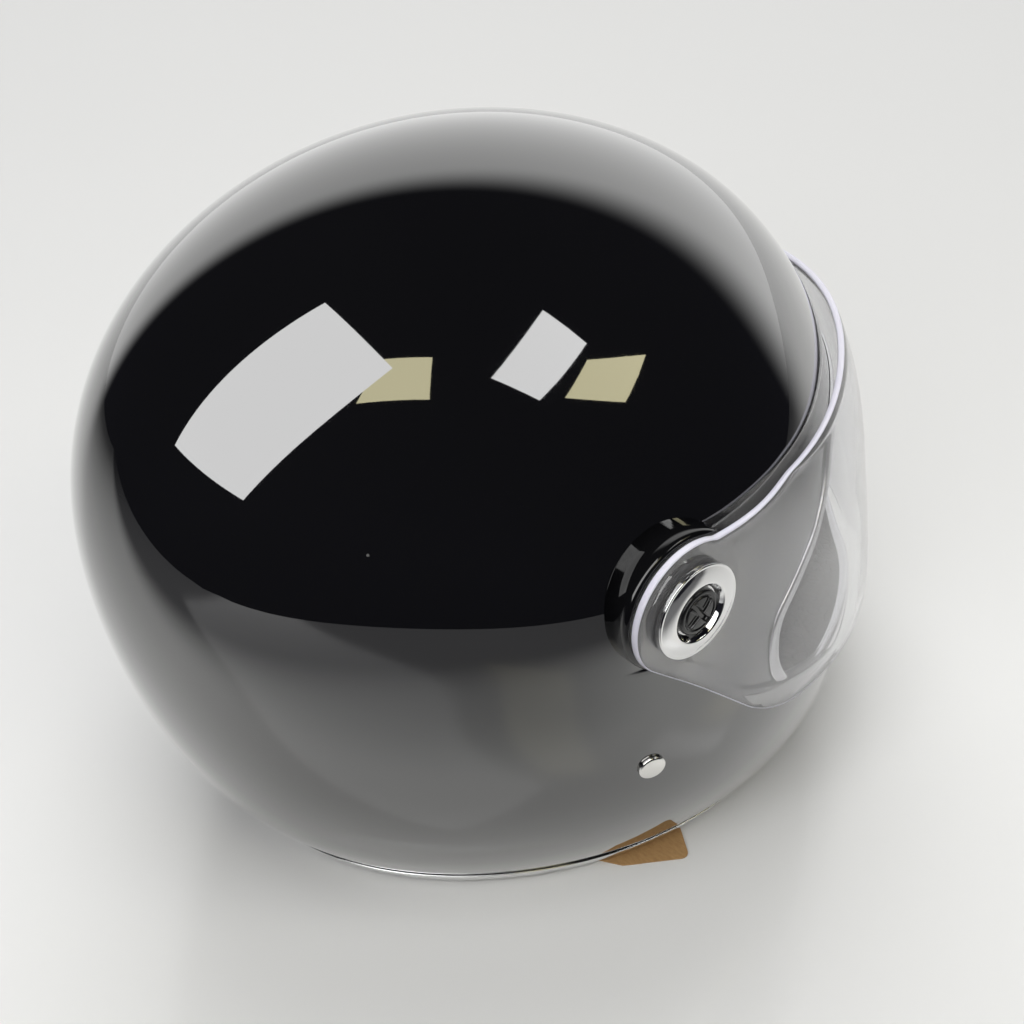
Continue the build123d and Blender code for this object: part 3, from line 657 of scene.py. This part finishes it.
# ------------------------------------------------------------------ visor
def visor_surface(turn, height):
    """Inner face of the visor: flat around each pivot, then easing onto the helmet's form."""
    p = at_height(height, turn, VISOR_GROW)
    away = np.hypot(p[..., 1] - PIVOT_Y, p[..., 2] - PIVOT_Z)
    ease = smooth((away - TAB_RADIUS) / (BLEND_RADIUS - TAB_RADIUS))
    ease = np.where(np.abs(p[..., 0]) > 60, ease, 1.0)
    x = VISOR_INNER * (1 - ease) + np.abs(p[..., 0]) * ease
    return np.stack([np.sign(p[..., 0]) * x, p[..., 1], p[..., 2]], -1)


def visor_side_outline():
    """Side view of the visor's edge on one side, from the brow round the tab to the chin."""
    corner = np.array(VISOR_CORNER)
    to_pivot = np.array([PIVOT_Y, PIVOT_Z]) - corner
    reach = np.hypot(*to_pivot)
    heading = atan2(to_pivot[1], to_pivot[0]) - asin(TAB_RADIUS / reach)
    run = sqrt(reach**2 - TAB_RADIUS**2)
    tangent = corner + run * np.array([cos(heading), sin(heading)])
    enter = atan2(VISOR_TOP - PIVOT_Z, -sqrt(TAB_RADIUS**2 - (VISOR_TOP - PIVOT_Z) ** 2))
    leave = atan2(tangent[1] - PIVOT_Z, tangent[0] - PIVOT_Y)
    arc = [(PIVOT_Y + TAB_RADIUS * cos(a), PIVOT_Z + TAB_RADIUS * sin(a))
           for a in np.linspace(enter, leave, 60)]
    chin = (-250, VISOR_CORNER[1] + VISOR_SLOPE * (-250 - VISOR_CORNER[0]))
    lower = rounded([tuple(tangent), VISOR_CORNER, chin], [55], 24)
    return np.vstack([[(-250, VISOR_TOP)], arc, lower[1:]])


def inside(points, polygon):
    """Which points lie in a closed outline."""
    x, y = points[:, :1], points[:, 1:]
    x0, y0 = polygon[:, 0], polygon[:, 1]
    x1, y1 = np.roll(x0, -1), np.roll(y0, -1)
    crosses = ((y0 > y) != (y1 > y)) & (x < (x1 - x0) * (y - y0) / (y1 - y0 + 1e-12) + x0)
    return crosses.sum(1) % 2 == 1


def cut_sheet(outline, holes, filling):
    """Triangles over a flat outline with holes, through the given filling points."""
    points = np.vstack([outline, *holes, filling])
    edges, start = [], 0
    for loop in (outline, *holes):
        edges += [(start + k, start + (k + 1) % len(loop)) for k in range(len(loop))]
        start += len(loop)
    flat_points, _, tris, *_ = delaunay_2d_cdt([Vector(p) for p in points], edges, [], 0, 1e-6)
    flat_points = np.array([tuple(p) for p in flat_points])
    tris = np.array([t for t in tris if len(t) == 3])
    centres = flat_points[tris].mean(1)
    keep = inside(centres, outline)
    for loop in holes:
        keep &= ~inside(centres, loop)
    return flat_points, tris[keep]


def build_visor():
    line = resample(visor_side_outline(), 1.0)
    reach = at_height(line[:, 1], np.full(len(line), -pi / 2), VISOR_GROW)[:, 1]
    line = line[line[:, 0] > reach + 0.4]
    turn = turn_at(line[:, 0], line[:, 1], VISOR_GROW)
    start = np.linspace(-pi / 2, turn[0], 14)[:-1]
    stop = np.linspace(turn[-1], -pi / 2, 14)[1:]
    last = line[-1, 1] + (line[-1, 1] - line[-40, 1]) * 0.1
    edge = np.stack([np.concatenate([start, turn, stop]), np.concatenate(
        [np.full(len(start), VISOR_TOP), line[:, 1], np.linspace(line[-1, 1], last, len(stop))])], -1)

    table = np.linspace(-pi / 2 - 0.02, 0.9, 900)
    walk = visor_surface(table, np.full(table.shape, 125.0))
    run = np.concatenate([[0], np.cumsum(np.linalg.norm(np.diff(walk, axis=0), axis=1))])
    run -= np.interp(-pi / 2, table, run)

    def flat(turn_z):
        return np.stack([np.interp(turn_z[:, 0], table, run), turn_z[:, 1]], -1)

    def lift(points):
        s = points[:, 0]
        turn = np.interp(np.abs(s), run, table)
        turn = np.where(s >= 0, turn, -pi - turn)
        return turn, points[:, 1]

    half = flat(edge)
    ring = np.vstack([half, (half * [-1, 1])[::-1][1:-1]])
    ring = resample(ring, 1.2, closed=True)
    area = 0.5 * np.sum(ring[:, 0] * np.roll(ring[:, 1], -1) - np.roll(ring[:, 0], -1) * ring[:, 1])
    if area < 0:
        ring = ring[::-1]
    tangent = np.roll(ring, -1, 0) - np.roll(ring, 1, 0)
    tangent /= np.linalg.norm(tangent, axis=1, keepdims=True)
    inward = np.stack([-tangent[:, 1], tangent[:, 0]], -1)
    rim = [(0.55, 0.0), (0.22, 0.16), (0.05, 0.5), (0.0, 1.0), (0.0, 1.6), (0.05, 2.1), (0.22, 2.44),
           (0.55, 2.6)]
    bound = ring + inward * rim[0][0]

    pivot_turn = turn_at(PIVOT_Y, PIVOT_Z, VISOR_GROW)
    around = np.linspace(0, 2 * pi, 40, endpoint=False)
    hole_y, hole_z = PIVOT_Y + 6.1 * np.cos(around), PIVOT_Z + 6.1 * np.sin(around)
    hole = flat(np.stack([turn_at(hole_y, hole_z, VISOR_GROW), hole_z], -1))
    middle = flat(np.array([[float(pivot_turn), PIVOT_Z]]))[0]

    grid = np.stack(np.meshgrid(np.arange(-290, 291, 3.0), np.arange(60, 175, 3.0)), -1).reshape(-1, 2)

    inner = ring + inward * 2.2
    grid = grid[inside(grid, inner)]
    clear = np.ones(len(grid), bool)
    for sign in (1, -1):
        clear &= np.hypot(grid[:, 0] - sign * middle[0], grid[:, 1] - middle[1]) > 8.5
    grid = grid[clear]
    count, n = len(bound), len(around)
    flat_points, tris = cut_sheet(bound, [hole, hole * [-1, 1]], grid)

    def at(points, out):
        turn, z = lift(points)
        base = visor_surface(turn, z)
        n_ = normals(visor_surface, turn, z)
        n_ = np.where((n_ * (base - [0, 7, 120])).sum(-1, keepdims=True) > 0, n_, -n_)
        return base + n_ * out

    a, b, c = (flat_points[tris[:, k]] for k in range(3))
    turned_over = np.cross(b - a, c - a) < 0
    tris[turned_over] = tris[turned_over][:, ::-1]
    outer, innerface = at(flat_points, VISOR_WALL), at(flat_points, 0.0)
    total = len(flat_points)
    verts = [outer, innerface]
    faces = [list(t) for t in tris] + [[k + total for k in reversed(t)] for t in tris]
    rim_start = 2 * total
    for inset, out in rim[1:-1]:
        verts.append(at(ring + inward * inset, out))
    rows = [np.arange(count) + total]
    rows += [rim_start + k * count + np.arange(count) for k in range(len(rim) - 2)]
    rows.append(np.arange(count))
    for low, high in zip(rows, rows[1:]):
        for k in range(count):
            j = (k + 1) % count
            faces.append([int(low[k]), int(low[j]), int(high[j]), int(high[k])])
    for h in range(2):
        for k in range(n):
            p, q = count + h * n + k, count + h * n + (k + 1) % n
            faces.append([p, q, q + total, p + total])
    visor = piece("visor_sheet", np.vstack(verts), faces, VISOR_CLEAR, body="visor",
                  replaces=["visor"])
    visor.data.materials.append(VISOR_EDGE)
    rim_faces = np.zeros(len(visor.data.polygons), np.int32)
    rim_faces[2 * len(tris):2 * len(tris) + (len(rim) - 1) * count] = 1
    visor.data.polygons.foreach_set("material_index", rim_faces)
    bm_fix(visor)


def bm_fix(obj):
    """Make a closed mesh's faces point outwards."""
    bm = bmesh.new()
    bm.from_mesh(obj.data)
    bmesh.ops.remove_doubles(bm, verts=bm.verts, dist=1e-7)
    bmesh.ops.recalc_face_normals(bm, faces=bm.faces)
    bm.to_mesh(obj.data)
    bm.free()


build_visor()


# ------------------------------------------------------------------ visor pivots
def flank_x(y, z, grow=0.0):
    """Half-width of the form at points of the side view."""
    return at_height(z, turn_at(y, z, grow), grow)[..., 0]


def curve(points, steps=6):
    """Smooth line through (height, radius) points."""
    pts = np.asarray(points, float)
    ext = np.vstack([2 * pts[0] - pts[1], pts, 2 * pts[-1] - pts[-2]])
    out = []
    for k in range(1, len(ext) - 2):
        p0, p1, p2, p3 = ext[k - 1:k + 3]
        for t in np.arange(steps) / steps:
            out.append(0.5 * (2 * p1 + (p2 - p0) * t + (2 * p0 - 5 * p1 + 4 * p2 - p3) * t**2
                              + (3 * p1 - p0 - 3 * p2 + p3) * t**3))
    out.append(pts[-1])
    return [tuple(p) for p in out]


for side_name, side in SIDES.items():
    steps = 160
    plane = pivot_plane(side)
    lip = [(BASE_FACE, BASE_BORE), (BASE_FACE, 14.0)]
    lip += [(BASE_FACE - drop, BASE_RADIUS - inset) for drop, inset in (
        (0, 3.1), (0.06, 2.2), (0.3, 1.3), (0.75, 0.55), (1.4, 0.1), (2.2, 0))]
    verts, faces = lathe(plane, lip + [(0, BASE_RADIUS), (0, BASE_BORE)], steps)
    verts = verts.reshape(len(lip) + 2, steps, 3)
    for row in (-2, -1):
        y, z = verts[row, :, 1], verts[row, :, 2]
        verts[row, :, 0] = side * (flank_x(y, z) - SEAT_DEPTH + 0.02)
    verts = verts.reshape(-1, 3)
    bm_fix(piece(f"pivot_base_gloss_{side_name}", verts, faces, BASE_BLACK,
                 replaces=[f"pivot_base_{side_name}"]))

    rest = CAP_REST
    cap = curve([(rest, 2.8), (rest, 12.0), (rest, 16.5)], 2)
    cap += curve([(rest + 0.1, 16.75), (rest + 0.35, 17.1), (rest + 0.9, 17.36), (rest + 1.8, 17.4),
                  (rest + 2.35, 17.38), (rest + 2.62, 17.2), (rest + 2.72, 16.95),
                  (rest + 2.66, 16.6)], 4)
    cap += curve([(rest + 2.6, 16.35), (rest + 2.72, 16.0), (rest + 3.15, 14.6), (rest + 3.5, 13.2),
                  (rest + 3.72, 12.1), (rest + 3.8, 11.4), (rest + 3.72, 10.95),
                  (rest + 3.45, 10.6), (rest + 2.6, 10.1), (rest + 1.7, 9.6), (rest + 1.1, 9.1),
                  (rest + 0.95, 8.7), (rest + 0.9, 8.0), (rest + 0.9, 2.8)], 5)
    verts, faces = lathe(plane, cap, 200)
    count = 200
    faces += [[(len(cap) - 1) * count + k, (len(cap) - 1) * count + (k + 1) % count,
               (k + 1) % count, k] for k in range(count)]
    bm_fix(piece(f"pivot_cap_chrome_{side_name}", verts, faces, CHROME,
                 replaces=[f"pivot_cap_{side_name}"]))

    # black screw head with a curved four-arm slot
    around = np.linspace(0, 2 * pi, 192, endpoint=False)
    radii = np.concatenate([np.linspace(0.15, 7.4, 40), [7.7, 7.95, 8.15, 8.3, 8.38, 8.4, 8.4, 8.4]])
    heights = np.concatenate([rest + 3.75 - 0.55 * (np.linspace(0.15, 7.4, 40) / 7.4) ** 2
                              - 0.5 * np.exp(-((np.linspace(0.15, 7.4, 40) - 6.3) / 0.35) ** 2),
                              rest + np.array([3.1, 2.95, 2.7, 2.4, 2.1, 1.8, 1.3, 0.95])])
    r, a = np.meshgrid(radii, around, indexing="ij")
    h = np.broadcast_to(heights[:, None], r.shape).copy()
    bend = 0.22 * (r / 5.8)
    arm = np.abs(np.sin(2 * (a - 0.5 - bend)))
    off = np.abs(r * np.sin(np.minimum(np.arcsin(np.clip(arm, 0, 1)) / 2, pi / 4)))
    slot_mask = smooth((1.05 - off) / 0.45) * smooth((6.1 - r) / 0.6)
    raised = smooth((1.9 - off) / 0.4) * smooth((6.4 - r) / 0.5)
    h += 0.25 * raised - 1.35 * slot_mask
    origin, u, v, n = plane
    verts = origin + h[..., None] * n + (np.cos(a) * r)[..., None] * u + (np.sin(a) * r)[..., None] * v
    verts = verts.reshape(-1, 3)
    faces = grid_faces(len(radii), len(around), True).tolist()
    faces.append(list(range(len(around))))
    faces.append([(len(radii) - 1) * len(around) + k for k in range(len(around))][::-1])
    shank, shank_faces = lathe(plane, [(112, 2.5), (rest + 0.95, 2.5)], 40, cap_ends=True)
    faces += [[k + len(verts) for k in f] for f in shank_faces]
    bm_fix(piece(f"pivot_screw_black_{side_name}", np.vstack([verts, shank]), faces, SCREW_BLACK,
                 replaces=[f"pivot_screw_{side_name}"]))
    for node, material in (("inner_washer", NYLON), ("outer_washer", NYLON), ("pivot_bush", STEEL),
                           ("pivot_nut", STEEL), ("anchor_plate", STEEL),
                           ("cheek_snaps", SNAP_PLASTIC)):
        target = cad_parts[f"{node}_{side_name}"]
        target.data.materials.clear()
        target.data.materials.append(material)


# ------------------------------------------------------------------ strap rivets
def rivet_frame(side):
    foot = at_height(np.array(RIVET_Z), turn_at(STRAP_Y, RIVET_Z, 0.0), 0.0)
    n = surface_normals(foot[None])[0]
    n, foot = n * [side, 1, 1], foot * [side, 1, 1]
    u = np.cross([0, 0, 1.0], n)
    u /= np.linalg.norm(u)
    return foot, u, np.cross(n, u), n


for side_name, side in SIDES.items():
    dome = curve([(0.05, 5.0), (0.5, 5.06), (0.95, 4.96), (1.25, 4.66), (1.42, 4.2), (1.52, 3.2),
                  (1.6, 1.7), (1.63, 0.15)], 5)
    profile = [(-9.2, 0.2), (-9.2, 4.6), (-8.2, 4.6), (-8.2, 2.4), (0.05, 2.4)] + dome
    verts, faces = lathe(rivet_frame(side), profile, 96, cap_ends=True)
    bm_fix(piece(f"strap_rivet_dome_{side_name}", verts, faces, RIVET,
                 replaces=[f"strap_rivet_{side_name}"]))


# ------------------------------------------------------------------ padded fabric
def coordinates(mesh):
    flat = np.empty(len(mesh.vertices) * 3)
    mesh.vertices.foreach_get("co", flat)
    return flat.reshape(-1, 3)


def set_coordinates(mesh, points):
    mesh.vertices.foreach_set("co", np.asarray(points, np.float32).ravel())
    mesh.update()


def vertex_normals(mesh):
    flat = np.empty(len(mesh.vertices) * 3)
    mesh.vertices.foreach_get("normal", flat)
    return flat.reshape(-1, 3)


def bake_modifiers(obj):
    """Replace an object's mesh by what its modifiers make of it."""
    view = bpy.context.evaluated_depsgraph_get()
    mesh = bpy.data.meshes.new_from_object(obj.evaluated_get(view))
    obj.modifiers.clear()
    obj.data = mesh


def puff(obj, pressure, cap):
    """Blow the fabric up with cloth simulation, and keep each point near where it began."""
    start = coordinates(obj.data)
    cloth = obj.modifiers.new("cloth", "CLOTH")
    settings = cloth.settings
    settings.use_pressure = True
    settings.uniform_pressure_force = pressure
    settings.effector_weights.gravity = 0.0
    cloth.point_cache.frame_start, cloth.point_cache.frame_end = 1, 20
    for step in range(1, 21):
        bpy.context.scene.frame_set(step)
    view = bpy.context.evaluated_depsgraph_get()
    moved = coordinates(obj.evaluated_get(view).data) - start
    obj.modifiers.clear()
    bpy.context.scene.frame_set(1)
    length = np.linalg.norm(moved, axis=1, keepdims=True)
    moved *= np.minimum(1, cap * MM / np.maximum(length, 1e-9))
    set_coordinates(obj.data, start + moved)


def padded_piece(name, node, material, shrink, cap, voxel, grooves):
    """Fabric over foam, in the space of a CAD node: remeshed, puffed up, sewn and smoothed."""
    obj = bpy.data.objects.new(name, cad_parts[node].data.copy())
    bpy.context.scene.collection.objects.link(obj)
    remesh = obj.modifiers.new("remesh", "REMESH")
    remesh.mode, remesh.voxel_size = "VOXEL", voxel * MM
    bake_modifiers(obj)
    mesh = obj.data
    set_coordinates(mesh, coordinates(mesh) - vertex_normals(mesh) * shrink * MM)
    puff(obj, 4.0, cap)
    obj.modifiers.new("round", "SUBSURF").levels = 1
    bake_modifiers(obj)
    mesh = obj.data
    points = coordinates(mesh)
    depth = np.zeros(len(points))
    for groove in grooves:
        away, deep, wide = groove(points / MM)
        depth = np.maximum(depth, deep * np.exp(-(away / wide) ** 2))
    set_coordinates(mesh, points - vertex_normals(mesh) * depth[:, None] * MM)
    finish_piece(obj, material, replaces=[node])


def plane_groove(axis, place, deep=1.1, wide=1.6):
    """Sewn channel where a coordinate has a given value, on both sides if the axis is x."""
    def groove(p):
        value = np.abs(p[:, 0]) if axis == 0 else p[:, axis]
        return value - place, deep, wide
    return groove


def ring_groove(y, z, half_y, half_z, deep=0.9, wide=1.3):
    """Sewn line round a cheek pad, in side view."""
    def groove(p):
        dy, dz = np.abs(p[:, 1] - y) / half_y, np.abs(p[:, 2] - z) / half_z
        return ((dy**4 + dz**4) ** 0.25 - 1) * min(half_y, half_z), deep, wide
    return groove


padded_piece("crown_lining_quilted", "crown_lining", LINING, 0.5, 1.2, 4.0,
             [plane_groove(0, 27), plane_groove(0, 62), plane_groove(1, -30), plane_groove(1, 22),
              plane_groove(1, 72)])
padded_piece("chin_lining_quilted", "chin_lining", LINING, 0.4, 1.0, 4.0,
             [plane_groove(0, 18), plane_groove(0, 46)])
padded_piece("neck_roll_padded", "neck_roll", PAD, 1.0, 2.6, 5.0,
             [plane_groove(0, 34), plane_groove(2, 16, 0.8)])
for side_name in SIDES:
    padded_piece(f"cheek_pad_{side_name}_padded", f"cheek_pad_{side_name}", PAD, 1.2, 3.0,
                 5.0, [ring_groove(-20, 58, 42, 34), plane_groove(2, 58, 0.9)])


# ------------------------------------------------------------------ chin strap
def webbing(name, path, across, node):
    """Flat woven strap along a line of centres, with rounded edges and a raised selvedge."""
    along = np.gradient(path, axis=0)
    along /= np.linalg.norm(along, axis=1, keepdims=True)
    across = across - (across * along).sum(1, keepdims=True) * along
    across /= np.linalg.norm(across, axis=1, keepdims=True)
    out = np.cross(across, along)
    width = np.array([-11, -10.85, -10.4, -9.6, -8.6, -6, -3, 0, 3, 6, 8.6, 9.6, 10.4, 10.85, 11])
    thick = np.array([0.05, 0.5, 0.78, 0.88, 0.8, 0.78, 0.78, 0.78, 0.78, 0.78, 0.8, 0.88, 0.78, 0.5, 0.05])
    profile = [(w, t) for w, t in zip(width, thick)] + [(w, -t) for w, t in zip(width[::-1], thick[::-1])]
    rows = [path + across * w + out * t for w, t in profile]
    verts = np.stack(rows, 1).reshape(-1, 3)
    n = len(profile)
    faces = grid_faces(len(path), n, True).tolist()
    faces.append(list(range(n))[::-1])
    faces.append([(len(path) - 1) * n + k for k in range(n)])
    strap = piece(name, verts, faces, WEBBING, replaces=[node])
    bm_fix(strap)
    return out


def strap_start(side):
    """Centres and cross directions where the strap lies on the shell and turns square below."""
    z = np.linspace(85.6, 38.5, 32)
    y = np.full(z.shape, STRAP_Y)
    centre = at_height(z, turn_at(y, z, -4.5), -4.5)
    ahead = at_height(z, turn_at(y + 3, z, -4.5), -4.5)
    cross = ahead - centre
    turn = np.linspace(0, 1, 9)[1:, None]
    low = np.array([98.0, STRAP_Y, 32.0])
    ease = turn * turn * (3 - 2 * turn)
    centre = np.vstack([centre, centre[-1] * (1 - turn) + low * turn])
    cross = np.vstack([cross, cross[-1] * (1 - ease) + np.array([0, 3.0, 0]) * ease])
    return centre * [side, 1, 1], cross * [side, 1, 1]


def strap_run(side, points, radii):
    """Centres of a strap's free run, drawn in front view."""
    line = resample(rounded(points, radii), 1.2)
    return np.stack([line[:, 0] * side, np.full(len(line), STRAP_Y), line[:, 1]], -1)


LOOP_X, LOOP_HALF = 76.2, 3.2
over = [(73 - LOOP_HALF * cos(a), 30 + LOOP_HALF * sin(a)) for a in np.radians(np.arange(15, 91, 15))]
round_far = [(67 - LOOP_HALF * cos(a), 30 + LOOP_HALF * sin(a)) for a in np.radians(np.arange(90, 271, 15))]
back = [(73 - LOOP_HALF * cos(a), 30 + LOOP_HALF * sin(a)) for a in np.radians(np.arange(270, 331, 15))]
for side, node, points, radii, tail in (
        (-1, "strap_right", [(98, 31.4), (98, 22), (LOOP_X, 20.5), (LOOP_X, 30)], [8, 7],
         over + round_far + back),
        (1, "strap_left", [(98, 31.4), (98, 22), (71.6, 21), (71.6, 6.4), (62, 6.4), (62, 21), (66, 33)],
         [8, 5, 4.7, 4.7, 8], [])):
    centre, cross = strap_start(side)
    run = strap_run(side, points, radii)
    if tail:
        tail = resample(np.array(tail, float), 1.0)
        run = np.vstack([run, np.stack([tail[:, 0] * side, np.full(len(tail), STRAP_Y), tail[:, 1]], -1)])
    path = np.vstack([centre, run])
    cross = np.vstack([cross, np.tile([0, 1.0, 0], (len(run), 1))])
    webbing(f"{node}_webbing", path, cross, node)


# ------------------------------------------------------------------ hang tag
def build_tag():
    """Loose kraft card with chamfered corners and a punched hole, hardly curled."""
    half_long, half_wide, thick = 19.0, 16.0, 0.5
    outline = rounded([(half_long - 12, half_wide), (-half_long, half_wide), (-half_long, -half_wide),
                       (half_long - 12, -half_wide)], [3, 3], 8)
    outline = np.vstack([outline, [(half_long, -half_wide + 5.5), (half_long, half_wide - 5.5)]])
    outline = resample(outline, 1.0, closed=True)
    turns = np.linspace(0, 2 * pi, 32, endpoint=False)
    hole = np.stack([half_long - 5 + 2.5 * np.cos(turns), 2.5 * np.sin(turns)], -1)
    grid = np.stack(np.meshgrid(np.arange(-19, 19, 1.5), np.arange(-16, 16, 1.5)), -1).reshape(-1, 2)
    grid = grid[inside(grid, outline * 0.96)]
    grid = grid[np.hypot(grid[:, 0] - half_long + 5, grid[:, 1]) > 3.2]
    count, n = len(outline), len(hole)
    flat_points, tris = cut_sheet(outline, [hole], grid)
    u, v = flat_points[:, 0], flat_points[:, 1]
    curl = 0.25 * (u / half_long) ** 2 + 0.15 * (v / half_wide) ** 2 * (u < 0)
    along = np.array([0.54, 0.842, 0.0])
    along /= np.linalg.norm(along)
    side = np.array([-along[1], along[0], 0.0])
    base = np.array([-90.1, 9.0, 0.0]) + u[:, None] * along + v[:, None] * side
    low = base + np.array([0, 0, 1.0]) * curl[:, None]
    high = low + [0, 0, thick]
    total = len(flat_points)
    faces = [list(t) for t in tris] + [[int(k) + total for k in reversed(t)] for t in tris]
    for start, size in ((0, count), (count, n)):
        for k in range(size):
            a, b = start + k, start + (k + 1) % size
            faces.append([a, b, b + total, a + total])
    bm_fix(piece("hang_tag_card", np.vstack([low, high]), faces, CARD,
                 replaces=["hang_tag"], smooth_shading=False))


build_tag()


# ------------------------------------------------------------------ stage and light
def stage_mesh(name, verts, faces, material):
    mesh = bpy.data.meshes.new(name)
    mesh.from_pydata(verts, [], faces)
    obj = bpy.data.objects.new(name, mesh)
    obj.data.materials.append(material)
    bpy.context.scene.collection.objects.link(obj)
    return obj


def floor_material():
    m, k, s, at = new_material("floor_white", IOR=1.45, Coat_Weight=0.0)
    cloud = k.noise(at, 1.3, 2.0)
    along = k.add("ShaderNodeVectorMath", operation="DOT_PRODUCT", i0=at,
                  i1=(0.7535, -0.6574, 0.0)).outputs["Value"]
    white = k.mix(cloud, (0.70, 0.70, 0.693), (0.72, 0.72, 0.712))
    # Painted shade: along the camera's facing, the floor turns dark grey between -0.18 m and -0.28 m on the
    # camera's side, outside the frame, so the shell's lower flanks reflect a table in shade.
    link(k, s, Base_Color=k.mix(k.span(along, -0.28, -0.18, 0.0, 1.0, True), (0.15, 0.15, 0.155), white),
         Roughness=k.span(k.noise(at, 40.0, 3.0), 0.3, 0.7, 0.10, 0.16))
    return m


FLOOR = floor_material()
FACING = np.array([0.7535, -0.6574])       # level direction in which the camera looks
ACROSS = np.array([0.6574, 0.7535])
NEAR_EDGE, FAR_EDGE, WIDE = -0.40, 6.0, 6.0


def floor_patch(name, near, far):
    corners = [near * FACING - WIDE * ACROSS, far * FACING - WIDE * ACROSS,
               far * FACING + WIDE * ACROSS, near * FACING + WIDE * ACROSS]
    return stage_mesh(name, [(*c, 0.0) for c in corners], [[0, 1, 2, 3]], FLOOR)


floor_patch("floor", NEAR_EDGE, FAR_EDGE)
outer_floor = floor_patch("floor_beyond", -6.0, NEAR_EDGE)
outer_floor.visible_glossy = False


def glow_panel(name, corners, distance, color, strength):
    """Flat glowing panel: four directions from the helmet and how far away it stands."""
    centre = np.array([0, 0.008, 0.15])
    directions = []
    for azimuth, elevation in corners:
        a, e = radians(azimuth), radians(elevation)
        directions.append(np.array([cos(e) * cos(a), cos(e) * sin(a), sin(e)]))
    verts = [tuple(centre + d * distance) for d in directions]
    m = bpy.data.materials.new(name)
    m.use_nodes = True
    tree = m.node_tree
    tree.nodes.clear()
    k = Nodes(tree)
    out = k.add("ShaderNodeOutputMaterial")
    glow = k.add("ShaderNodeEmission", Color=(*color, 1.0), Strength=strength)
    tree.links.new(glow.outputs[0], out.inputs[0])
    stage_mesh(name, verts, [[0, 1, 2, 3]], m)


glow_panel("softbox_large", [(92, 16.5), (137, 69.5), (163, 46.6), (119, 6.2)], 1.3, (1, 1, 1), 4.1)
glow_panel("softbox_small", [(-171, 42), (-140, 46), (-139.5, 38.7), (-164, 37)], 2.2, (1, 1, 1), 4.1)
glow_panel("ceiling_light_a", [(163.5, 49.3), (178.7, 48), (169.8, 39), (151, 37.4)], 2.6,
           (1.0, 0.93, 0.60), 3.1)
glow_panel("ceiling_light_b", [(-143, 37.5), (-128.8, 30.8), (-143.7, 31), (-157, 36)], 2.6,
           (1.0, 0.93, 0.60), 3.1)


def build_world():
    world = bpy.data.worlds.new("studio")
    bpy.context.scene.world = world
    world.use_nodes = True
    tree = world.node_tree
    tree.nodes.clear()
    k = Nodes(tree)
    direction = k.add("ShaderNodeTexCoord").outputs["Generated"]
    facing = k.add("ShaderNodeVectorMath", operation="DOT_PRODUCT", i0=direction,
                   i1=(0.80, -0.60, 0.02)).outputs["Value"]
    backdrop = k.span(facing, 0.44, 0.66, 0.0, 1.0, True)
    part = k.add("ShaderNodeSeparateXYZ", Vector=direction)
    ceiling = k.mix(k.span(part.outputs[2], 0.0, 0.9, 0.0, 1.0), (0.012, 0.012, 0.016),
                    (0.004, 0.004, 0.006))
    seen = k.mix(backdrop, ceiling, (1.15, 1.15, 1.14))
    path = k.add("ShaderNodeLightPath")
    color = k.mix(path.outputs["Is Camera Ray"], seen, (0.80, 0.80, 0.80))
    glow = k.add("ShaderNodeBackground", Color=color, Strength=1.0)
    out = k.add("ShaderNodeOutputWorld")
    tree.links.new(glow.outputs[0], out.inputs[0])


build_world()
scene = bpy.context.scene
scene.view_settings.view_transform = "Standard"


def area_light(name, place, target, size, power, color=(1, 1, 1)):
    data = bpy.data.lights.new(name, "AREA")
    data.shape, data.size, data.energy, data.color = "DISK", size, power, color
    light = bpy.data.objects.new(name, data)
    light.location = place
    light.rotation_euler = (Vector(target) - Vector(place)).to_track_quat("-Z", "Y").to_euler()
    light.visible_glossy = False
    scene.collection.objects.link(light)


area_light("fill_far", (0.9, -0.6, 2.4), (0.3, -0.2, 0), 2.0, 26)
area_light("fill_near", (-0.9, 0.7, 2.2), (-0.1, 0.1, 0), 2.0, 32)

# ------------------------------------------------------------------ remaining CAD nodes
for node, material in (("crown_foam", FOAM), ("chin_foam", FOAM), ("strap_snap", STEEL),
                       ("d_ring_outer", STEEL), ("d_ring_inner", STEEL)):
    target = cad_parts[node]
    target.data.materials.clear()
    target.data.materials.append(material)
